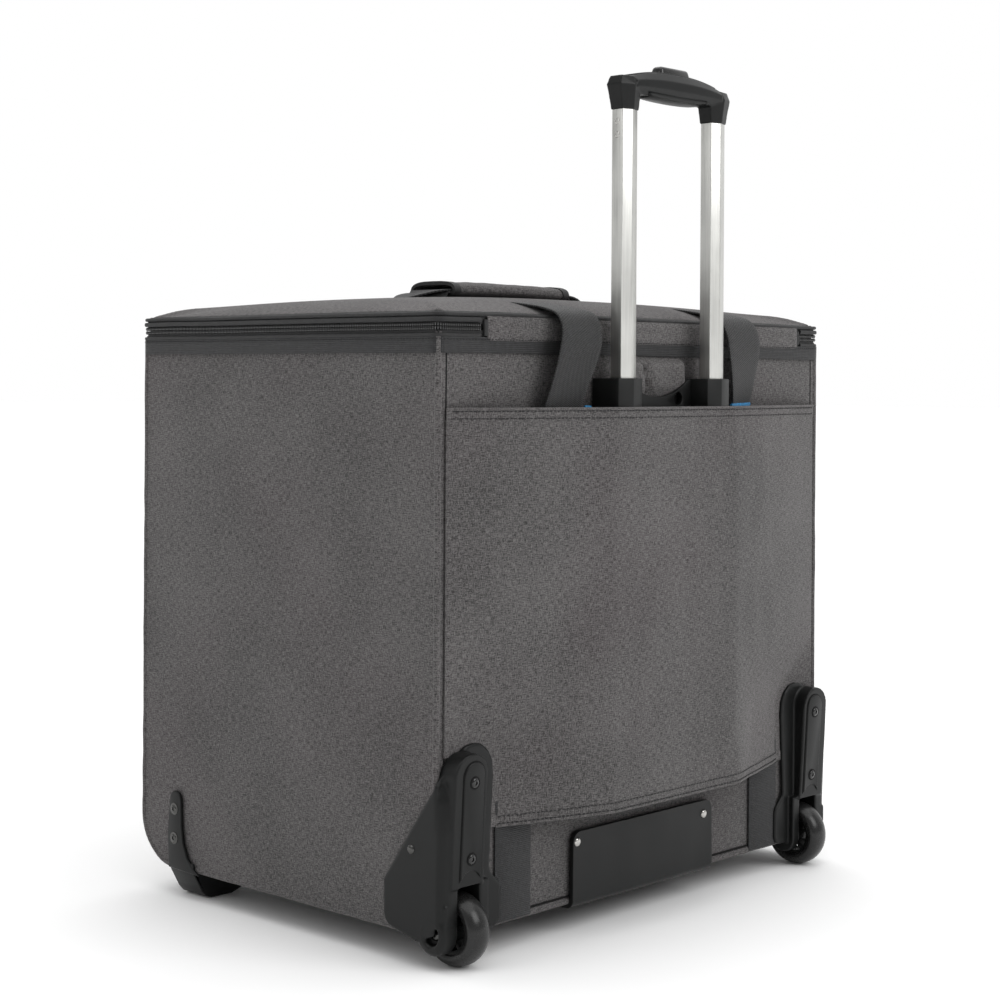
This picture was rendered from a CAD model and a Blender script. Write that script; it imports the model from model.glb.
# %% [markdown]
# A tennis ball machine packed in a soft trolley case: a grey heather fabric box with a zipped, padded
# lid, a pull-out handle, corner wheels and, inside, a hopper, a feed wheel and two launch wheels. The
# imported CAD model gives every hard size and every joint. This script dresses it: fabric skins, zips,
# stitching, webbing, mouldings and finishes, each placed from the frame and riding on a body.

# %% Load the frame
import math

import bmesh
import bpy
from mathutils import Matrix, Vector, noise


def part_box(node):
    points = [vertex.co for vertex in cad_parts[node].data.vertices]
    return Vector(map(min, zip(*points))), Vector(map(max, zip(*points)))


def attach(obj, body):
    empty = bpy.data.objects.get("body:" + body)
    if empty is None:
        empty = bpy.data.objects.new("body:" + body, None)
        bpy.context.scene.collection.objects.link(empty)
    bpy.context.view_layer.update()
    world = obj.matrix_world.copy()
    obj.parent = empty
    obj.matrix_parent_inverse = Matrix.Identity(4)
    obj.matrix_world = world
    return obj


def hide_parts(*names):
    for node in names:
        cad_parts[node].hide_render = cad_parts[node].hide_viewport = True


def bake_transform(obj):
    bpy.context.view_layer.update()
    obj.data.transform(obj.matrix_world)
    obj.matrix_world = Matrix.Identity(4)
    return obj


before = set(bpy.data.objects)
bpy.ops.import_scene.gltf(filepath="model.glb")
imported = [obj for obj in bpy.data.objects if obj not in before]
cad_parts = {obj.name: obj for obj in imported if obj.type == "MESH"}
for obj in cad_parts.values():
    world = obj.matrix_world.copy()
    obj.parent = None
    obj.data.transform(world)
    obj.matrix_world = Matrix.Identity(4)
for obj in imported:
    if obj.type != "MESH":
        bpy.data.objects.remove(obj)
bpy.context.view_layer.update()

# %% [markdown]
# Most pieces are mirror images about the case's middle, so they are easiest to describe from there. The
# frame's origin sits under the middle of the whole machine instead, handle included. So every shape is
# made in case coordinates, and one helper shifts its mesh along Y when it is finished.

# %% Sizes that everything else starts from
wall_low, wall_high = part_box("side_panel_left")
WIDE = wall_high.x  # half the case's width
DEEP = (wall_high.y - wall_low.y) / 2
SHIFT = (wall_high.y + wall_low.y) / 2
BOTTOM = wall_low.z
RIM = wall_high.z
SIDES = (("left", 1), ("right", -1))


def case_box(node):
    """A CAD node's corners, counted from the case's middle."""
    low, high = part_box(node)
    return low - Vector((0, SHIFT, 0)), high - Vector((0, SHIFT, 0))


print(f"case {2 * WIDE:.3f} wide, {2 * DEEP:.3f} deep, {BOTTOM:.3f} to {RIM:.3f} high")

# %% [markdown]
# The camera stands behind the case, level, about as high as the case's mouth, and looks along a
# diagonal. A level camera keeps upright edges parallel, and a vertical shift then brings the whole
# object into the frame, as a shift lens would.

# %% Camera
CAMERA_AT = (1.370, 1.3006 + SHIFT, 0.4724)
CAMERA_TURN = 133.25
CAMERA_ROLL = 0.34
camera_data = bpy.data.cameras.new("camera")
camera_data.lens = 70.8
camera_data.sensor_width = 36
camera_data.shift_x = 0.0
camera_data.shift_y = -0.1206
camera = bpy.data.objects.new("camera", camera_data)
bpy.context.scene.collection.objects.link(camera)
level = Matrix.Rotation(math.radians(CAMERA_TURN), 4, "Z") @ Matrix.Rotation(math.pi / 2, 4, "X")
camera.matrix_world = (
    Matrix.Translation(CAMERA_AT) @ level @ Matrix.Rotation(math.radians(CAMERA_ROLL), 4, "Z")
)
bpy.context.scene.camera = camera
print("camera at", CAMERA_AT)

# %% [markdown]
# A product picture of a dark case wants a bright, nearly shadowless room. The white backdrop is the
# part of the world that lies across from the camera, and the part behind the camera is dimmer, so
# that black mouldings don't turn grey in its reflection. A soft sun straight overhead keeps the whole
# floor as pale as the backdrop. One large lamp lights the rear face a little more than the side,
# which is what keeps the two faces apart.

# %% Floor and lights
FLOOR_HALF = 30.0
floor_mesh = bpy.data.meshes.new("floor")
floor_mesh.from_pydata(
    [(-FLOOR_HALF, -FLOOR_HALF, 0), (FLOOR_HALF, -FLOOR_HALF, 0), (FLOOR_HALF, FLOOR_HALF, 0),
     (-FLOOR_HALF, FLOOR_HALF, 0)],
    [], [(0, 1, 2, 3)],
)
floor = bpy.data.objects.new("floor", floor_mesh)
bpy.context.scene.collection.objects.link(floor)
paper = bpy.data.materials.new("studio_paper")
paper.use_nodes = True
for label, value in (("Base Color", (0.97, 0.97, 0.97, 1)), ("Roughness", 1.0),
                     ("Specular IOR Level", 0.0)):
    paper.node_tree.nodes["Principled BSDF"].inputs[label].default_value = value
floor_mesh.materials.append(paper)

BACKDROP, ROOM = 1.0, 0.42
world = bpy.data.worlds.new("studio")
bpy.context.scene.world = world
world.use_nodes = True
backdrop = world.node_tree.nodes
backdrop["Background"].inputs["Color"].default_value = (1.0, 1.0, 1.0, 1)
towards = backdrop.new("ShaderNodeTexCoord")
facing = backdrop.new("ShaderNodeVectorMath")
facing.operation = "DOT_PRODUCT"
facing.inputs[1].default_value = (-math.sin(math.radians(CAMERA_TURN)),
                                  math.cos(math.radians(CAMERA_TURN)), 0.0)
spread = backdrop.new("ShaderNodeMapRange")
spread.interpolation_type = "SMOOTHSTEP"
for label, value in (("From Min", -0.1), ("From Max", 0.6), ("To Min", ROOM), ("To Max", BACKDROP)):
    spread.inputs[label].default_value = value
world.node_tree.links.new(towards.outputs["Generated"], facing.inputs[0])
world.node_tree.links.new(facing.outputs["Value"], spread.inputs["Value"])
seen = backdrop.new("ShaderNodeLightPath")
brighter = backdrop.new("ShaderNodeMath")
brighter.operation = "MAXIMUM"
world.node_tree.links.new(spread.outputs["Result"], brighter.inputs[0])
world.node_tree.links.new(seen.outputs["Is Camera Ray"], brighter.inputs[1])
world.node_tree.links.new(brighter.outputs["Value"], backdrop["Background"].inputs["Strength"])
bpy.context.scene.view_settings.view_transform = "Standard"


def lamp(name, at, target, size, power):
    """A square area lamp that faces a point."""
    data = bpy.data.lights.new(name, "AREA")
    data.size = size
    data.energy = power
    obj = bpy.data.objects.new(name, data)
    bpy.context.scene.collection.objects.link(obj)
    obj.location = at
    obj.rotation_euler = (Vector(target) - Vector(at)).to_track_quat("-Z", "Y").to_euler()
    return obj


lamp("key", (-0.6, 2.6, 1.9), (0, 0, 0.3), 1.6, 30)
lamp("side", (2.6, -0.6, 1.7), (0.1, 0, 0.3), 1.4, 9)
sun_data = bpy.data.lights.new("overhead", "SUN")
sun_data.angle = math.radians(80)
sun_data.energy = 1.6
sun = bpy.data.objects.new("overhead", sun_data)
bpy.context.scene.collection.objects.link(sun)
print("one floor, two lamps and an overhead sun")

# %% [markdown]
# Shader maths reads best as arithmetic. A small class wraps a node's output socket and overloads the
# operators, so that 1 - mask adds the Math node by itself. Colours and vectors can't go through Math
# nodes, so blending has a method of its own, and any other node comes from one general method.

# %% A material written as expressions
class Wire:
    """The output of a node. Arithmetic on it adds Math nodes to the same tree."""

    def __init__(self, paint, socket):
        self.paint = paint
        self.socket = socket

    def _math(self, operation, *values):
        return self.paint.node("ShaderNodeMath", {"operation": operation}, dict(enumerate(values)))

    def __add__(self, other):
        return self._math("ADD", self, other)

    def __radd__(self, other):
        return self._math("ADD", other, self)

    def __sub__(self, other):
        return self._math("SUBTRACT", self, other)

    def __rsub__(self, other):
        return self._math("SUBTRACT", other, self)

    def __mul__(self, other):
        return self._math("MULTIPLY", self, other)

    def __rmul__(self, other):
        return self._math("MULTIPLY", other, self)

    def __truediv__(self, other):
        return self._math("DIVIDE", self, other)

    def over(self, limit):
        return self._math("GREATER_THAN", self, limit)

    def wave(self):
        return self._math("SINE", self)

    def ramp(self, low, high):
        """0 below low, 1 above high, and smooth between."""
        values = {"Value": self, "From Min": low, "From Max": high}
        settings = {"interpolation_type": "SMOOTHSTEP"}
        return self.paint.node("ShaderNodeMapRange", settings, values)


class Paint:
    """A Principled material whose even values sit on the shader, and whose varying ones are wired."""

    def __init__(self, name, roughness, metallic=0.0, **even):
        self.material = bpy.data.materials.new(name)
        self.material.use_nodes = True
        self.tree = self.material.node_tree
        self.shader = self.tree.nodes["Principled BSDF"]
        for key, value in (("Roughness", roughness), ("Metallic", metallic), *even.items()):
            self.shader.inputs[key.replace("_", " ")].default_value = value

    def node(self, kind, settings=None, values=None, output=0):
        """Adds a node: its settings first, then its sockets' values or links."""
        added = self.tree.nodes.new(kind)
        for key, value in (settings or {}).items():
            if key == "stops":
                for stop, (position, colour) in zip(added.color_ramp.elements, value):
                    stop.position, stop.color = position, colour
            else:
                setattr(added, key, value)
        for key, value in (values or {}).items():
            if isinstance(value, Wire):
                self.tree.links.new(value.socket, added.inputs[key])
            else:
                added.inputs[key].default_value = value
        return Wire(self, added.outputs[output])

    def place(self, source="Object", stretch=(1, 1, 1), turn=(0, 0, 0)):
        """Texture coordinates: the object's own, or its UV map in metres."""
        if source == "UV":
            at = self.node("ShaderNodeUVMap", {"uv_map": "cloth"})
        else:
            at = self.node("ShaderNodeTexCoord", output=source)
        return self.node("ShaderNodeMapping", {}, {"Vector": at, "Scale": stretch, "Rotation": turn})

    def noise(self, at, scale, detail=2.0, rough=0.5):
        values = {"Vector": at, "Scale": scale, "Detail": detail, "Roughness": rough}
        return self.node("ShaderNodeTexNoise", {"noise_dimensions": "3D"}, values)

    def split(self, at):
        """The X, Y and Z of a vector."""
        return [self.node("ShaderNodeSeparateXYZ", {}, {"Vector": at}, output=i) for i in range(3)]

    def blend(self, factor, first, second):
        """A colour between two colours."""
        return self.node(
            "ShaderNodeMix", {"data_type": "RGBA"},
            {0: factor, 6: (*first, 1) if isinstance(first, tuple) else first,
             7: (*second, 1) if isinstance(second, tuple) else second}, output=2,
        )

    def wear(self, **links):
        """Wires values into the shader's sockets."""
        for key, value in links.items():
            self.tree.links.new(value.socket, self.shader.inputs[key.replace("_", " ")])
        return self

    def bump(self, height, strength, distance):
        values = {"Height": height, "Strength": strength, "Distance": distance}
        return self.wear(Normal=self.node("ShaderNodeBump", {}, values))


print("shader helpers ready")

# %% [markdown]
# The case's cloth is a plain-woven polyester in heather grey: dark and light yarns are mixed before
# weaving, so it shows short streaks along both thread directions and a fine over-and-under grain. Two
# stretched noises make the streaks and two crossed sine waves make the weave, all on a UV map laid in
# metres, so that the threads keep their size and follow each panel. A flat grey with plain noise would
# look like felt.

# %% Heather fabric
def heather(name, dark, light, tint):
    """Plain-woven melange cloth on the cloth UV map."""
    paint = Paint(name, 0.93, Specular_IOR_Level=0.22, Sheen_Weight=0.12, Sheen_Roughness=0.5)
    flat = paint.place("UV")
    across, along, _ = paint.split(flat)
    thread = 2 * math.pi / 0.0011
    weft = paint.noise(paint.place("UV", (190, 1500, 1)), 1.0, 1.0)
    warp = paint.noise(paint.place("UV", (1500, 210, 1)), 1.0, 1.0)
    fleck = paint.noise(flat, 900, 1.0)
    cloud = paint.noise(flat, 9, 3.0)
    over = (across * thread).wave() * (along * thread).wave()
    yarn = (weft * 0.36 + warp * 0.34 + fleck * 0.30 + (cloud - 0.5) * 0.12
            + over * 0.03).ramp(0.36, 0.64)
    base = paint.blend(yarn, dark, light)
    warm = paint.noise(flat, 5, 2.0).ramp(0.40, 0.65) * 0.55
    paint.wear(Base_Color=paint.blend(warm, base, paint.blend(yarn, tint, light)))
    return paint.bump(over * 0.5 + weft + warp, 0.35, 0.0004).material


FABRIC = heather("heather_fabric", (0.026, 0.025, 0.025), (0.150, 0.143, 0.142), (0.036, 0.026, 0.029))
print(FABRIC.name)

# %% [markdown]
# Webbing and binding are black, with ribs across a strap's width where the weft packs down, and a
# faint diagonal where the warp steps. Tape around the zip has a finer, flatter weave. One recipe with
# the rib's pitch and angle as values serves both.

# %% Webbing and tape
def webbing(name, shade, pitch, lean, depth):
    paint = Paint(name, 0.62, Specular_IOR_Level=0.35, Sheen_Weight=0.10)
    flat = paint.place("UV")
    across, along, _ = paint.split(flat)
    ribs = ((along + across * lean) * (2 * math.pi / pitch)).wave()
    cross = ((across - along * lean) * (2 * math.pi / (pitch * 0.8))).wave()
    worn = paint.noise(flat, 260, 2.0)
    tone = (ribs * 0.25 + cross * 0.15 + worn).ramp(0.15, 1.05)
    paint.wear(Base_Color=paint.blend(tone, tuple(0.45 * c for c in shade),
                                      tuple(1.9 * c for c in shade)))
    return paint.bump(ribs + cross * 0.6, 0.6, depth).material


WEBBING = webbing("black_webbing", (0.016, 0.016, 0.0165), 0.0022, 0.55, 0.0004)
RIBBED = webbing("ribbed_webbing", (0.017, 0.017, 0.018), 0.0016, 0.0, 0.0003)
TAPE = webbing("zip_tape", (0.014, 0.014, 0.0145), 0.0009, 0.0, 0.0001)
print(WEBBING.name, RIBBED.name, TAPE.name)

# %% [markdown]
# Moulded plastic is never quite even: a spark-eroded tool leaves a fine grain, handling polishes
# patches of it, and the flow of the melt leaves slow changes in gloss. Metals get the same treatment
# with their own grain: drawn tubes are streaked along their length, and turned or pressed steel is
# cloudy.

# %% Plastics, metals and rubber
def moulded(name, colour, roughness, grain=900, depth=0.00006, coat=0.0, shine=0.22):
    """Grained plastic or rubber, on object coordinates."""
    paint = Paint(name, roughness, Specular_IOR_Level=shine, Coat_Weight=coat, Coat_Roughness=0.25)
    at = paint.place()
    speck = paint.noise(at, grain, 2.0)
    slow = paint.noise(at, 24, 3.0)
    mix = (slow * 0.7 + speck * 0.3).ramp(0.3, 0.7)
    paint.wear(Base_Color=paint.blend(mix, tuple(0.78 * c for c in colour),
                                      tuple(1.22 * c for c in colour)))
    paint.wear(Roughness=roughness - 0.07 + mix * 0.14)
    return paint.bump(speck, 0.5, depth).material


def metal(name, colour, roughness, stretch=(1, 1, 1), depth=0.00003):
    """Metal with a grain that runs the long way of the stretch."""
    paint = Paint(name, roughness, 1.0)
    grain = paint.noise(paint.place("Object", stretch), 700, 3.0, 0.6)
    slow = paint.noise(paint.place(), 30, 2.0)
    tone = (grain * 0.6 + slow * 0.4).ramp(0.25, 0.75)
    paint.wear(Base_Color=paint.blend(tone, tuple(0.86 * c for c in colour),
                                      tuple(min(1.0, 1.1 * c) for c in colour)))
    paint.wear(Roughness=roughness - 0.06 + tone * 0.12)
    return paint.bump(grain, 0.35, depth).material


BLACK = moulded("satin_black_plastic", (0.0072, 0.0076, 0.0075), 0.38)
GLOSS_BLACK = moulded("gloss_black", (0.004, 0.004, 0.004), 0.16, 300, 0.00002, 0.3, 0.45)
ZIP_TOOTH = moulded("zip_tooth", (0.010, 0.010, 0.010), 0.14, 300, 0.00002, 1.0, 0.9)
TREAD = moulded("wheel_tread", (0.011, 0.011, 0.011), 0.28, 500, 0.00004, 0.0, 0.4)
FOAM_RUBBER = moulded("foam_rubber", (0.026, 0.026, 0.027), 0.82, 700, 0.0003)
GREY_PLASTIC = moulded("grey_plastic", (0.20, 0.21, 0.22), 0.46)
ORANGE = moulded("orange_plastic", (0.75, 0.22, 0.03), 0.36, 700, 0.00004, 0.2)
BLUE = webbing("blue_trim", (0.010, 0.19, 0.42), 0.0012, 0.0, 0.0001)
ALUMINIUM = metal("drawn_aluminium", (0.60, 0.60, 0.575), 0.34, (1, 1, 0.02))
PLATE = metal("rolled_plate", (0.56, 0.56, 0.55), 0.36, (0.03, 1, 1))
STEEL = metal("plain_steel", (0.42, 0.42, 0.43), 0.30)
NICKEL = metal("nickel_rivet", (0.50, 0.49, 0.47), 0.26)
BLACK_NICKEL = metal("black_nickel", (0.085, 0.085, 0.082), 0.24)
THREAD = moulded("black_thread", (0.020, 0.020, 0.021), 0.7)
GREY_THREAD = moulded("grey_thread", (0.115, 0.110, 0.112), 0.75)
DARK = moulded("recess_black", (0.004, 0.004, 0.004), 0.8)
WHITE_INK = moulded("white_ink", (0.62, 0.62, 0.60), 0.5)
print(len(bpy.data.materials), "materials")


# %% [markdown]
# Birch plywood is the base board. Its faces show long, slightly wavy grain and its edges the stacked
# plies, so the stripe runs with height on the edge and with length on the face.

# %% Plywood
def plywood():
    paint = Paint("birch_plywood", 0.55, Specular_IOR_Level=0.3, Coat_Weight=0.1)
    at = paint.place()
    _, _, height = paint.split(at)
    grain = paint.noise(paint.place("Object", (2.5, 46, 1)), 1.0, 5.0, 0.6)
    plies = (height * (2 * math.pi / 0.0028)).wave()
    tone = (grain + plies * 0.10).ramp(0.32, 0.72)
    paint.wear(Base_Color=paint.blend(tone, (0.34, 0.20, 0.095), (0.62, 0.44, 0.25)))
    return paint.bump(grain, 0.3, 0.0002).material


PLYWOOD = plywood()
print(PLYWOOD.name)

# %% [markdown]
# Every piece ends the same way: its mesh is shifted from case coordinates to the frame's, cloth gets a
# UV map in metres by projecting each face along its main direction, edges sharper than a limit stay
# crisp, and the piece is told which body it rides on, which finish it has and which CAD nodes it
# stands for. One helper does that for all of them.

# %% Finish a piece
def lay_cloth(mesh):
    """A UV map in metres, projected along each face's main direction."""
    layer = mesh.uv_layers.get("cloth") or mesh.uv_layers.new(name="cloth")
    for face in mesh.polygons:
        facing = max(range(3), key=lambda i: abs(face.normal[i]))
        u, v = [(1, 2), (0, 2), (0, 1)][facing]
        for loop in face.loop_indices:
            at = mesh.vertices[mesh.loops[loop].vertex_index].co
            layer.data[loop].uv = (at[u] + 0.37 * facing, at[v])


def keep(name, mesh, material, body, slot, replaces=(), sharp=40, cloth=None):
    """Links a mesh made in case coordinates as a finished piece, on a body or, with None, on none yet."""
    mesh.transform(Matrix.Translation((0, SHIFT, 0)))
    mesh.name = name
    obj = bpy.data.objects.new(name, mesh)
    bpy.context.scene.collection.objects.link(obj)
    mesh.materials.clear()
    mesh.materials.append(material)
    mesh.shade_smooth()
    mesh.set_sharp_from_angle(angle=math.radians(sharp))
    if cloth is None:
        lay_cloth(mesh)
    elif cloth:
        layer = mesh.uv_layers.new(name="cloth")
        for loop in mesh.loops:
            layer.data[loop.index].uv = cloth[loop.vertex_index]
    if body:
        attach(obj, body)
    if replaces:
        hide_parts(*replaces)
    return obj


def plain(verts, faces):
    """A mesh from points and faces, with its doubles merged and its normals outwards."""
    bm = bmesh.new()
    points = [bm.verts.new(v) for v in verts]
    for face in faces:
        corners = [points[i] for i in face]
        bm.faces.new(corners)
    bmesh.ops.remove_doubles(bm, verts=bm.verts, dist=1e-6)
    bmesh.ops.recalc_face_normals(bm, faces=bm.faces)
    mesh = bpy.data.meshes.new("shape")
    bm.to_mesh(mesh)
    bm.free()
    return mesh


def settle(mesh, *steps):
    """The mesh after a few modifiers, given as (type, settings)."""
    obj = bpy.data.objects.new("work", mesh)
    bpy.context.scene.collection.objects.link(obj)
    for kind, settings in steps:
        modifier = obj.modifiers.new(kind.title(), kind)
        for key, value in settings.items():
            setattr(modifier, key, value)
    graph = bpy.context.evaluated_depsgraph_get()
    result = bpy.data.meshes.new_from_object(obj.evaluated_get(graph))
    bpy.data.objects.remove(obj)
    return result


print("piece helpers ready")

# %% [markdown]
# The case's walls are foam boards covered in cloth and sewn along piped corners. A wall is nearly flat:
# it swells by a millimetre or two in its middle, puckers in short waves beside each seam where the
# thread gathers it, and rolls slightly from the foam behind. A grid moved by those three rules shows
# all of it, and costs far less than a simulation that would only find the same flat board.

# %% Swell, waves and puckers
PUCKER_LENGTH = 0.021
PUCKER_REACH = 0.016


def smooth(value, low, high):
    """0 below low, 1 above high, smooth between."""
    t = min(1.0, max(0.0, (value - low) / (high - low)))
    return t * t * (3 - 2 * t)


def rumple(a, b, edges, seed, swell=0.0012, roll=0.0007, pucker=0.0005):
    """How far a wall's cloth stands out at (a, b), for edges given as (low a, high a, low b, high b)."""
    near = min(a - edges[0], edges[1] - a, b - edges[2], edges[3] - b)
    lift = swell * smooth(near, 0.0, 0.07)
    lift += roll * noise.noise(Vector((a * 9, b * 9, seed))) * smooth(near, 0.0, 0.02)
    lift += 0.35 * roll * noise.noise(Vector((a * 34, b * 34, seed + 7))) * smooth(near, 0.0, 0.01)
    gather = noise.noise(Vector((a * 2 / PUCKER_LENGTH, b * 2 / PUCKER_LENGTH, seed + 3)))
    return lift + pucker * gather * max(0.0, 1 - near / PUCKER_REACH) ** 2


def levels(low, high, step, *extra):
    """Even levels from low to high, with a few exact ones added."""
    count = max(2, round((high - low) / step))
    even = [low + (high - low) * i / count for i in range(count + 1)]
    return sorted(set(even) | {x for x in extra if low < x < high})


print("pucker length", PUCKER_LENGTH)

# %% [markdown]
# A side panel has a rounded toe in front and a notch for the wheel well behind. Rows at fixed heights
# are pushed up to the toe's arc, and faces inside the notch are left out.

# %% Side panels
TOE = 0.045
well_low, well_high = case_box("road_tyre_left")
WELL_FRONT = well_low.y - 0.0045
WELL_TOP = well_high.z + 0.009
SEAM = 0.003  # cloth's edge to the case's edge, where the piping lies
SKIN = 0.0016


def toe_height(y):
    """Lowest point of the case at y."""
    inside = max(0.0, -DEEP + TOE - y)
    return BOTTOM + TOE - math.sqrt(max(0.0, TOE * TOE - inside * inside))


def calm(z):
    """1 high on the wall, 0 low down, where mouldings lie flat on the cloth."""
    return smooth(z, 0.12, 0.24)


def side_panel(side, sign):
    toe = [-DEEP + SEAM + TOE * (1 - math.cos(math.radians(9 * i))) for i in range(10)]
    columns = sorted(set(levels(-DEEP + TOE, DEEP - SEAM, 0.007, WELL_FRONT)) | set(toe))
    rows = levels(BOTTOM + SEAM, RIM - 0.004, 0.007, WELL_TOP)
    verts, faces, index = [], [], {}
    for i, y in enumerate(columns):
        for j, z in enumerate(rows):
            height = max(z, toe_height(y) + SEAM * 0.5)
            edges = (-DEEP, DEEP, BOTTOM, RIM)
            out = rumple(y, height, edges, 4.0 * sign) * (0.15 + 0.85 * calm(height))
            index[i, j] = len(verts)
            verts.append((sign * (WIDE - 0.0012 + out), y, height))
    for i in range(len(columns) - 1):
        for j in range(len(rows) - 1):
            if columns[i] >= WELL_FRONT - 1e-6 and rows[j] < WELL_TOP - 1e-6:
                continue
            ring = [index[i, j], index[i + 1, j], index[i + 1, j + 1], index[i, j + 1]]
            if len({tuple(verts[k]) for k in ring}) == 4:
                faces.append(ring)
    mesh = sheet_mesh(verts, faces, (sign, 0, 0))
    return keep(f"side_skin_{side}", mesh, FABRIC, "case", "fabric", [f"side_panel_{side}"])


def sheet_mesh(verts, faces, out, thickness=SKIN):
    """An open grid with its doubles merged, faced outwards and thickened inwards."""
    mesh = plain(verts, faces)
    towards = sum((Vector(f.normal) * f.area for f in mesh.polygons), Vector())
    if towards.dot(Vector(out)) < 0:
        mesh.flip_normals()
    return settle(mesh, ("SOLIDIFY", {"thickness": thickness, "offset": -1, "use_even_offset": False}))


for side, sign in SIDES:
    panel = side_panel(side, sign)
    print(panel.name, len(panel.data.polygons), "faces")

# %% [markdown]
# The front panel has the launch window cut in it. The belly is one strip from the toe to the rear edge.
# The rear panel is hidden by the trolley cover up to its hem, and above the hem, between the handle's
# tubes, slack cloth is pushed up into two fat folds.

# %% Front, belly and rear panels
window_low, window_high = case_box("window_bezel")
BEZEL_RIM = 0.012
HEM = case_box("trolley_cover")[1].z
socket_low, socket_high = case_box("top_bracket")
INSET = WIDE - SEAM


def wall(name, place, columns, rows, keep_face, out, replaces):
    """A panel from a rule that places column a and row b."""
    verts = [place(a, b) for a in columns for b in rows]
    count = len(rows)
    faces = []
    for i in range(len(columns) - 1):
        for j in range(count - 1):
            a, b = (columns[i] + columns[i + 1]) / 2, (rows[j] + rows[j + 1]) / 2
            if keep_face(a, b):
                k = i * count + j
                faces.append((k, k + count, k + count + 1, k + 1))
    mesh = sheet_mesh(verts, faces, out)
    return keep(name, mesh, FABRIC, "case", "fabric", replaces)


def front_place(x, z):
    calmed = smooth(max(abs(x) - 0.12, z - 0.27, 0), 0.0, 0.06)
    calmed *= smooth(abs(x + 0.175) + max(0, z - 0.25), 0.06, 0.09)
    out = rumple(x, z, (-WIDE, WIDE, BOTTOM, RIM), 11.0) * calmed
    return x, -DEEP + 0.0012 - out, z


def in_window(x, z):
    half = window_high.x - BEZEL_RIM + 0.004
    return abs(x) < half and window_low.z + BEZEL_RIM - 0.004 < z < window_high.z - BEZEL_RIM + 0.004


def belly_place(x, s):
    """s runs down the toe's arc and then back along the bottom."""
    arc_length = TOE * math.pi / 2
    if s < arc_length:
        turn = s / TOE
        inner = TOE - 0.0012
        return x, -DEEP + TOE - inner * math.cos(turn), BOTTOM + TOE - inner * math.sin(turn)
    return x, -DEEP + TOE + s - arc_length, BOTTOM + 0.0012


def fold(x, z):
    """The pushed-up folds between the two tubes, above the sockets."""
    between = (1 - smooth(abs(x), 0.040, 0.050)) ** 0.5
    tall = smooth(z, HEM - 0.005, HEM + 0.024) * (1 - smooth(z, RIM - 0.0300, RIM - 0.0215)) ** 0.6
    crease = 1 - math.exp(-(((x - 0.012 - 0.22 * (z - 0.48)) / 0.0035) ** 2))
    fat = 0.0105 + 0.0020 * noise.noise(Vector((x * 30, z * 45, 2.0)))
    fat += 0.0008 * noise.noise(Vector((x * 120, z * 80, 6.0)))
    return between * tall * fat * (0.35 + 0.65 * crease)


def rear_place(x, z):
    out = rumple(x, z, (-WIDE, WIDE, BOTTOM, RIM), 21.0, 0.0010, 0.0006)
    out = out * (0.1 + 0.9 * smooth(z, HEM - 0.02, HEM + 0.005)) + fold(x, z)
    return x, DEEP - 0.0012 + out, z


def rear_kept(x, z):
    return abs(x) < well_low.x - 0.012 or z > WELL_TOP


front_rows = levels(BOTTOM + TOE, RIM - 0.004, 0.007, window_low.z + BEZEL_RIM, window_high.z - BEZEL_RIM)
wall("front_skin", front_place, levels(-INSET, INSET, 0.007), front_rows,
     lambda x, z: not in_window(x, z), (0, -1, 0), ["front_panel"])
belly_end = TOE * math.pi / 2 + 2 * DEEP - TOE - SEAM
wall("belly_skin", belly_place, levels(-INSET, INSET, 0.009), levels(0.0, belly_end, 0.005),
     lambda x, s: abs(x) < well_low.x - 0.012 or s < belly_end - (DEEP - WELL_FRONT), (0, 0, -1),
     ["bottom_panel"])
rear_rows = levels(BOTTOM + SEAM, HEM - 0.03, 0.009) + levels(HEM - 0.028, RIM - 0.004, 0.0028)
wall("rear_skin", rear_place, levels(-INSET, INSET, 0.0045), rear_rows, rear_kept, (0, 1, 0),
     ["rear_panel"])
for name, flat in (("front_skin", (2 * WIDE, RIM - BOTTOM)), ("belly_skin", (2 * WIDE, belly_end)),
                   ("rear_skin", (2 * WIDE, RIM - BOTTOM))):
    piece = bpy.data.objects[name]
    cut = sum(f.area for f in piece.data.polygons) / 2
    min(cut, flat[0] * flat[1])
    print(name, len(piece.data.polygons), "faces")

# %% [markdown]
# Piping covers the corner seams: a cord wrapped in the same cloth, with a dark stitched groove on each
# side of it. It is what gives a soft case its crisp edges. A round section swept along each corner
# makes it, and the two grooves are thinner dark cords sunk beside it.

# %% A sweep along a path
def sweep(path, section, closed=False, up=(0, 0, 1), wobble=0.0):
    """A closed section of (across, up) points carried along a path, with its ends filled."""
    count, around = len(path), len(section)
    points = [Vector(p) for p in path]
    verts, flat, run = [], [], 0.0
    for i, at in enumerate(points):
        before = points[i - 1] if closed or i else at
        after = points[(i + 1) % count] if closed or i < count - 1 else at
        along = (after - before).normalized()
        side = along.cross(Vector(up)).normalized()
        top = side.cross(along)
        run += (at - points[i - 1]).length if i else 0.0
        for j, (a, b) in enumerate(section):
            shake = wobble * noise.noise(at * 55)
            verts.append(at + side * (a + shake) + top * (b + shake))
            flat.append((a + 0.001 * b, run))
    rings = count if closed else count - 1
    faces = []
    for i in range(rings):
        for j in range(around):
            k, m = i * around, ((i + 1) % count) * around
            n = (j + 1) % around
            faces.append((k + j, m + j, m + n, k + n))
    if not closed:
        faces.append(tuple(range(around)))
        faces.append(tuple((count - 1) * around + j for j in reversed(range(around))))
    mesh = bpy.data.meshes.new("sweep")
    mesh.from_pydata(verts, [], faces)
    bm = bmesh.new()
    bm.from_mesh(mesh)
    bmesh.ops.recalc_face_normals(bm, faces=bm.faces)
    bm.to_mesh(mesh)
    bm.free()
    return mesh, flat


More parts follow.
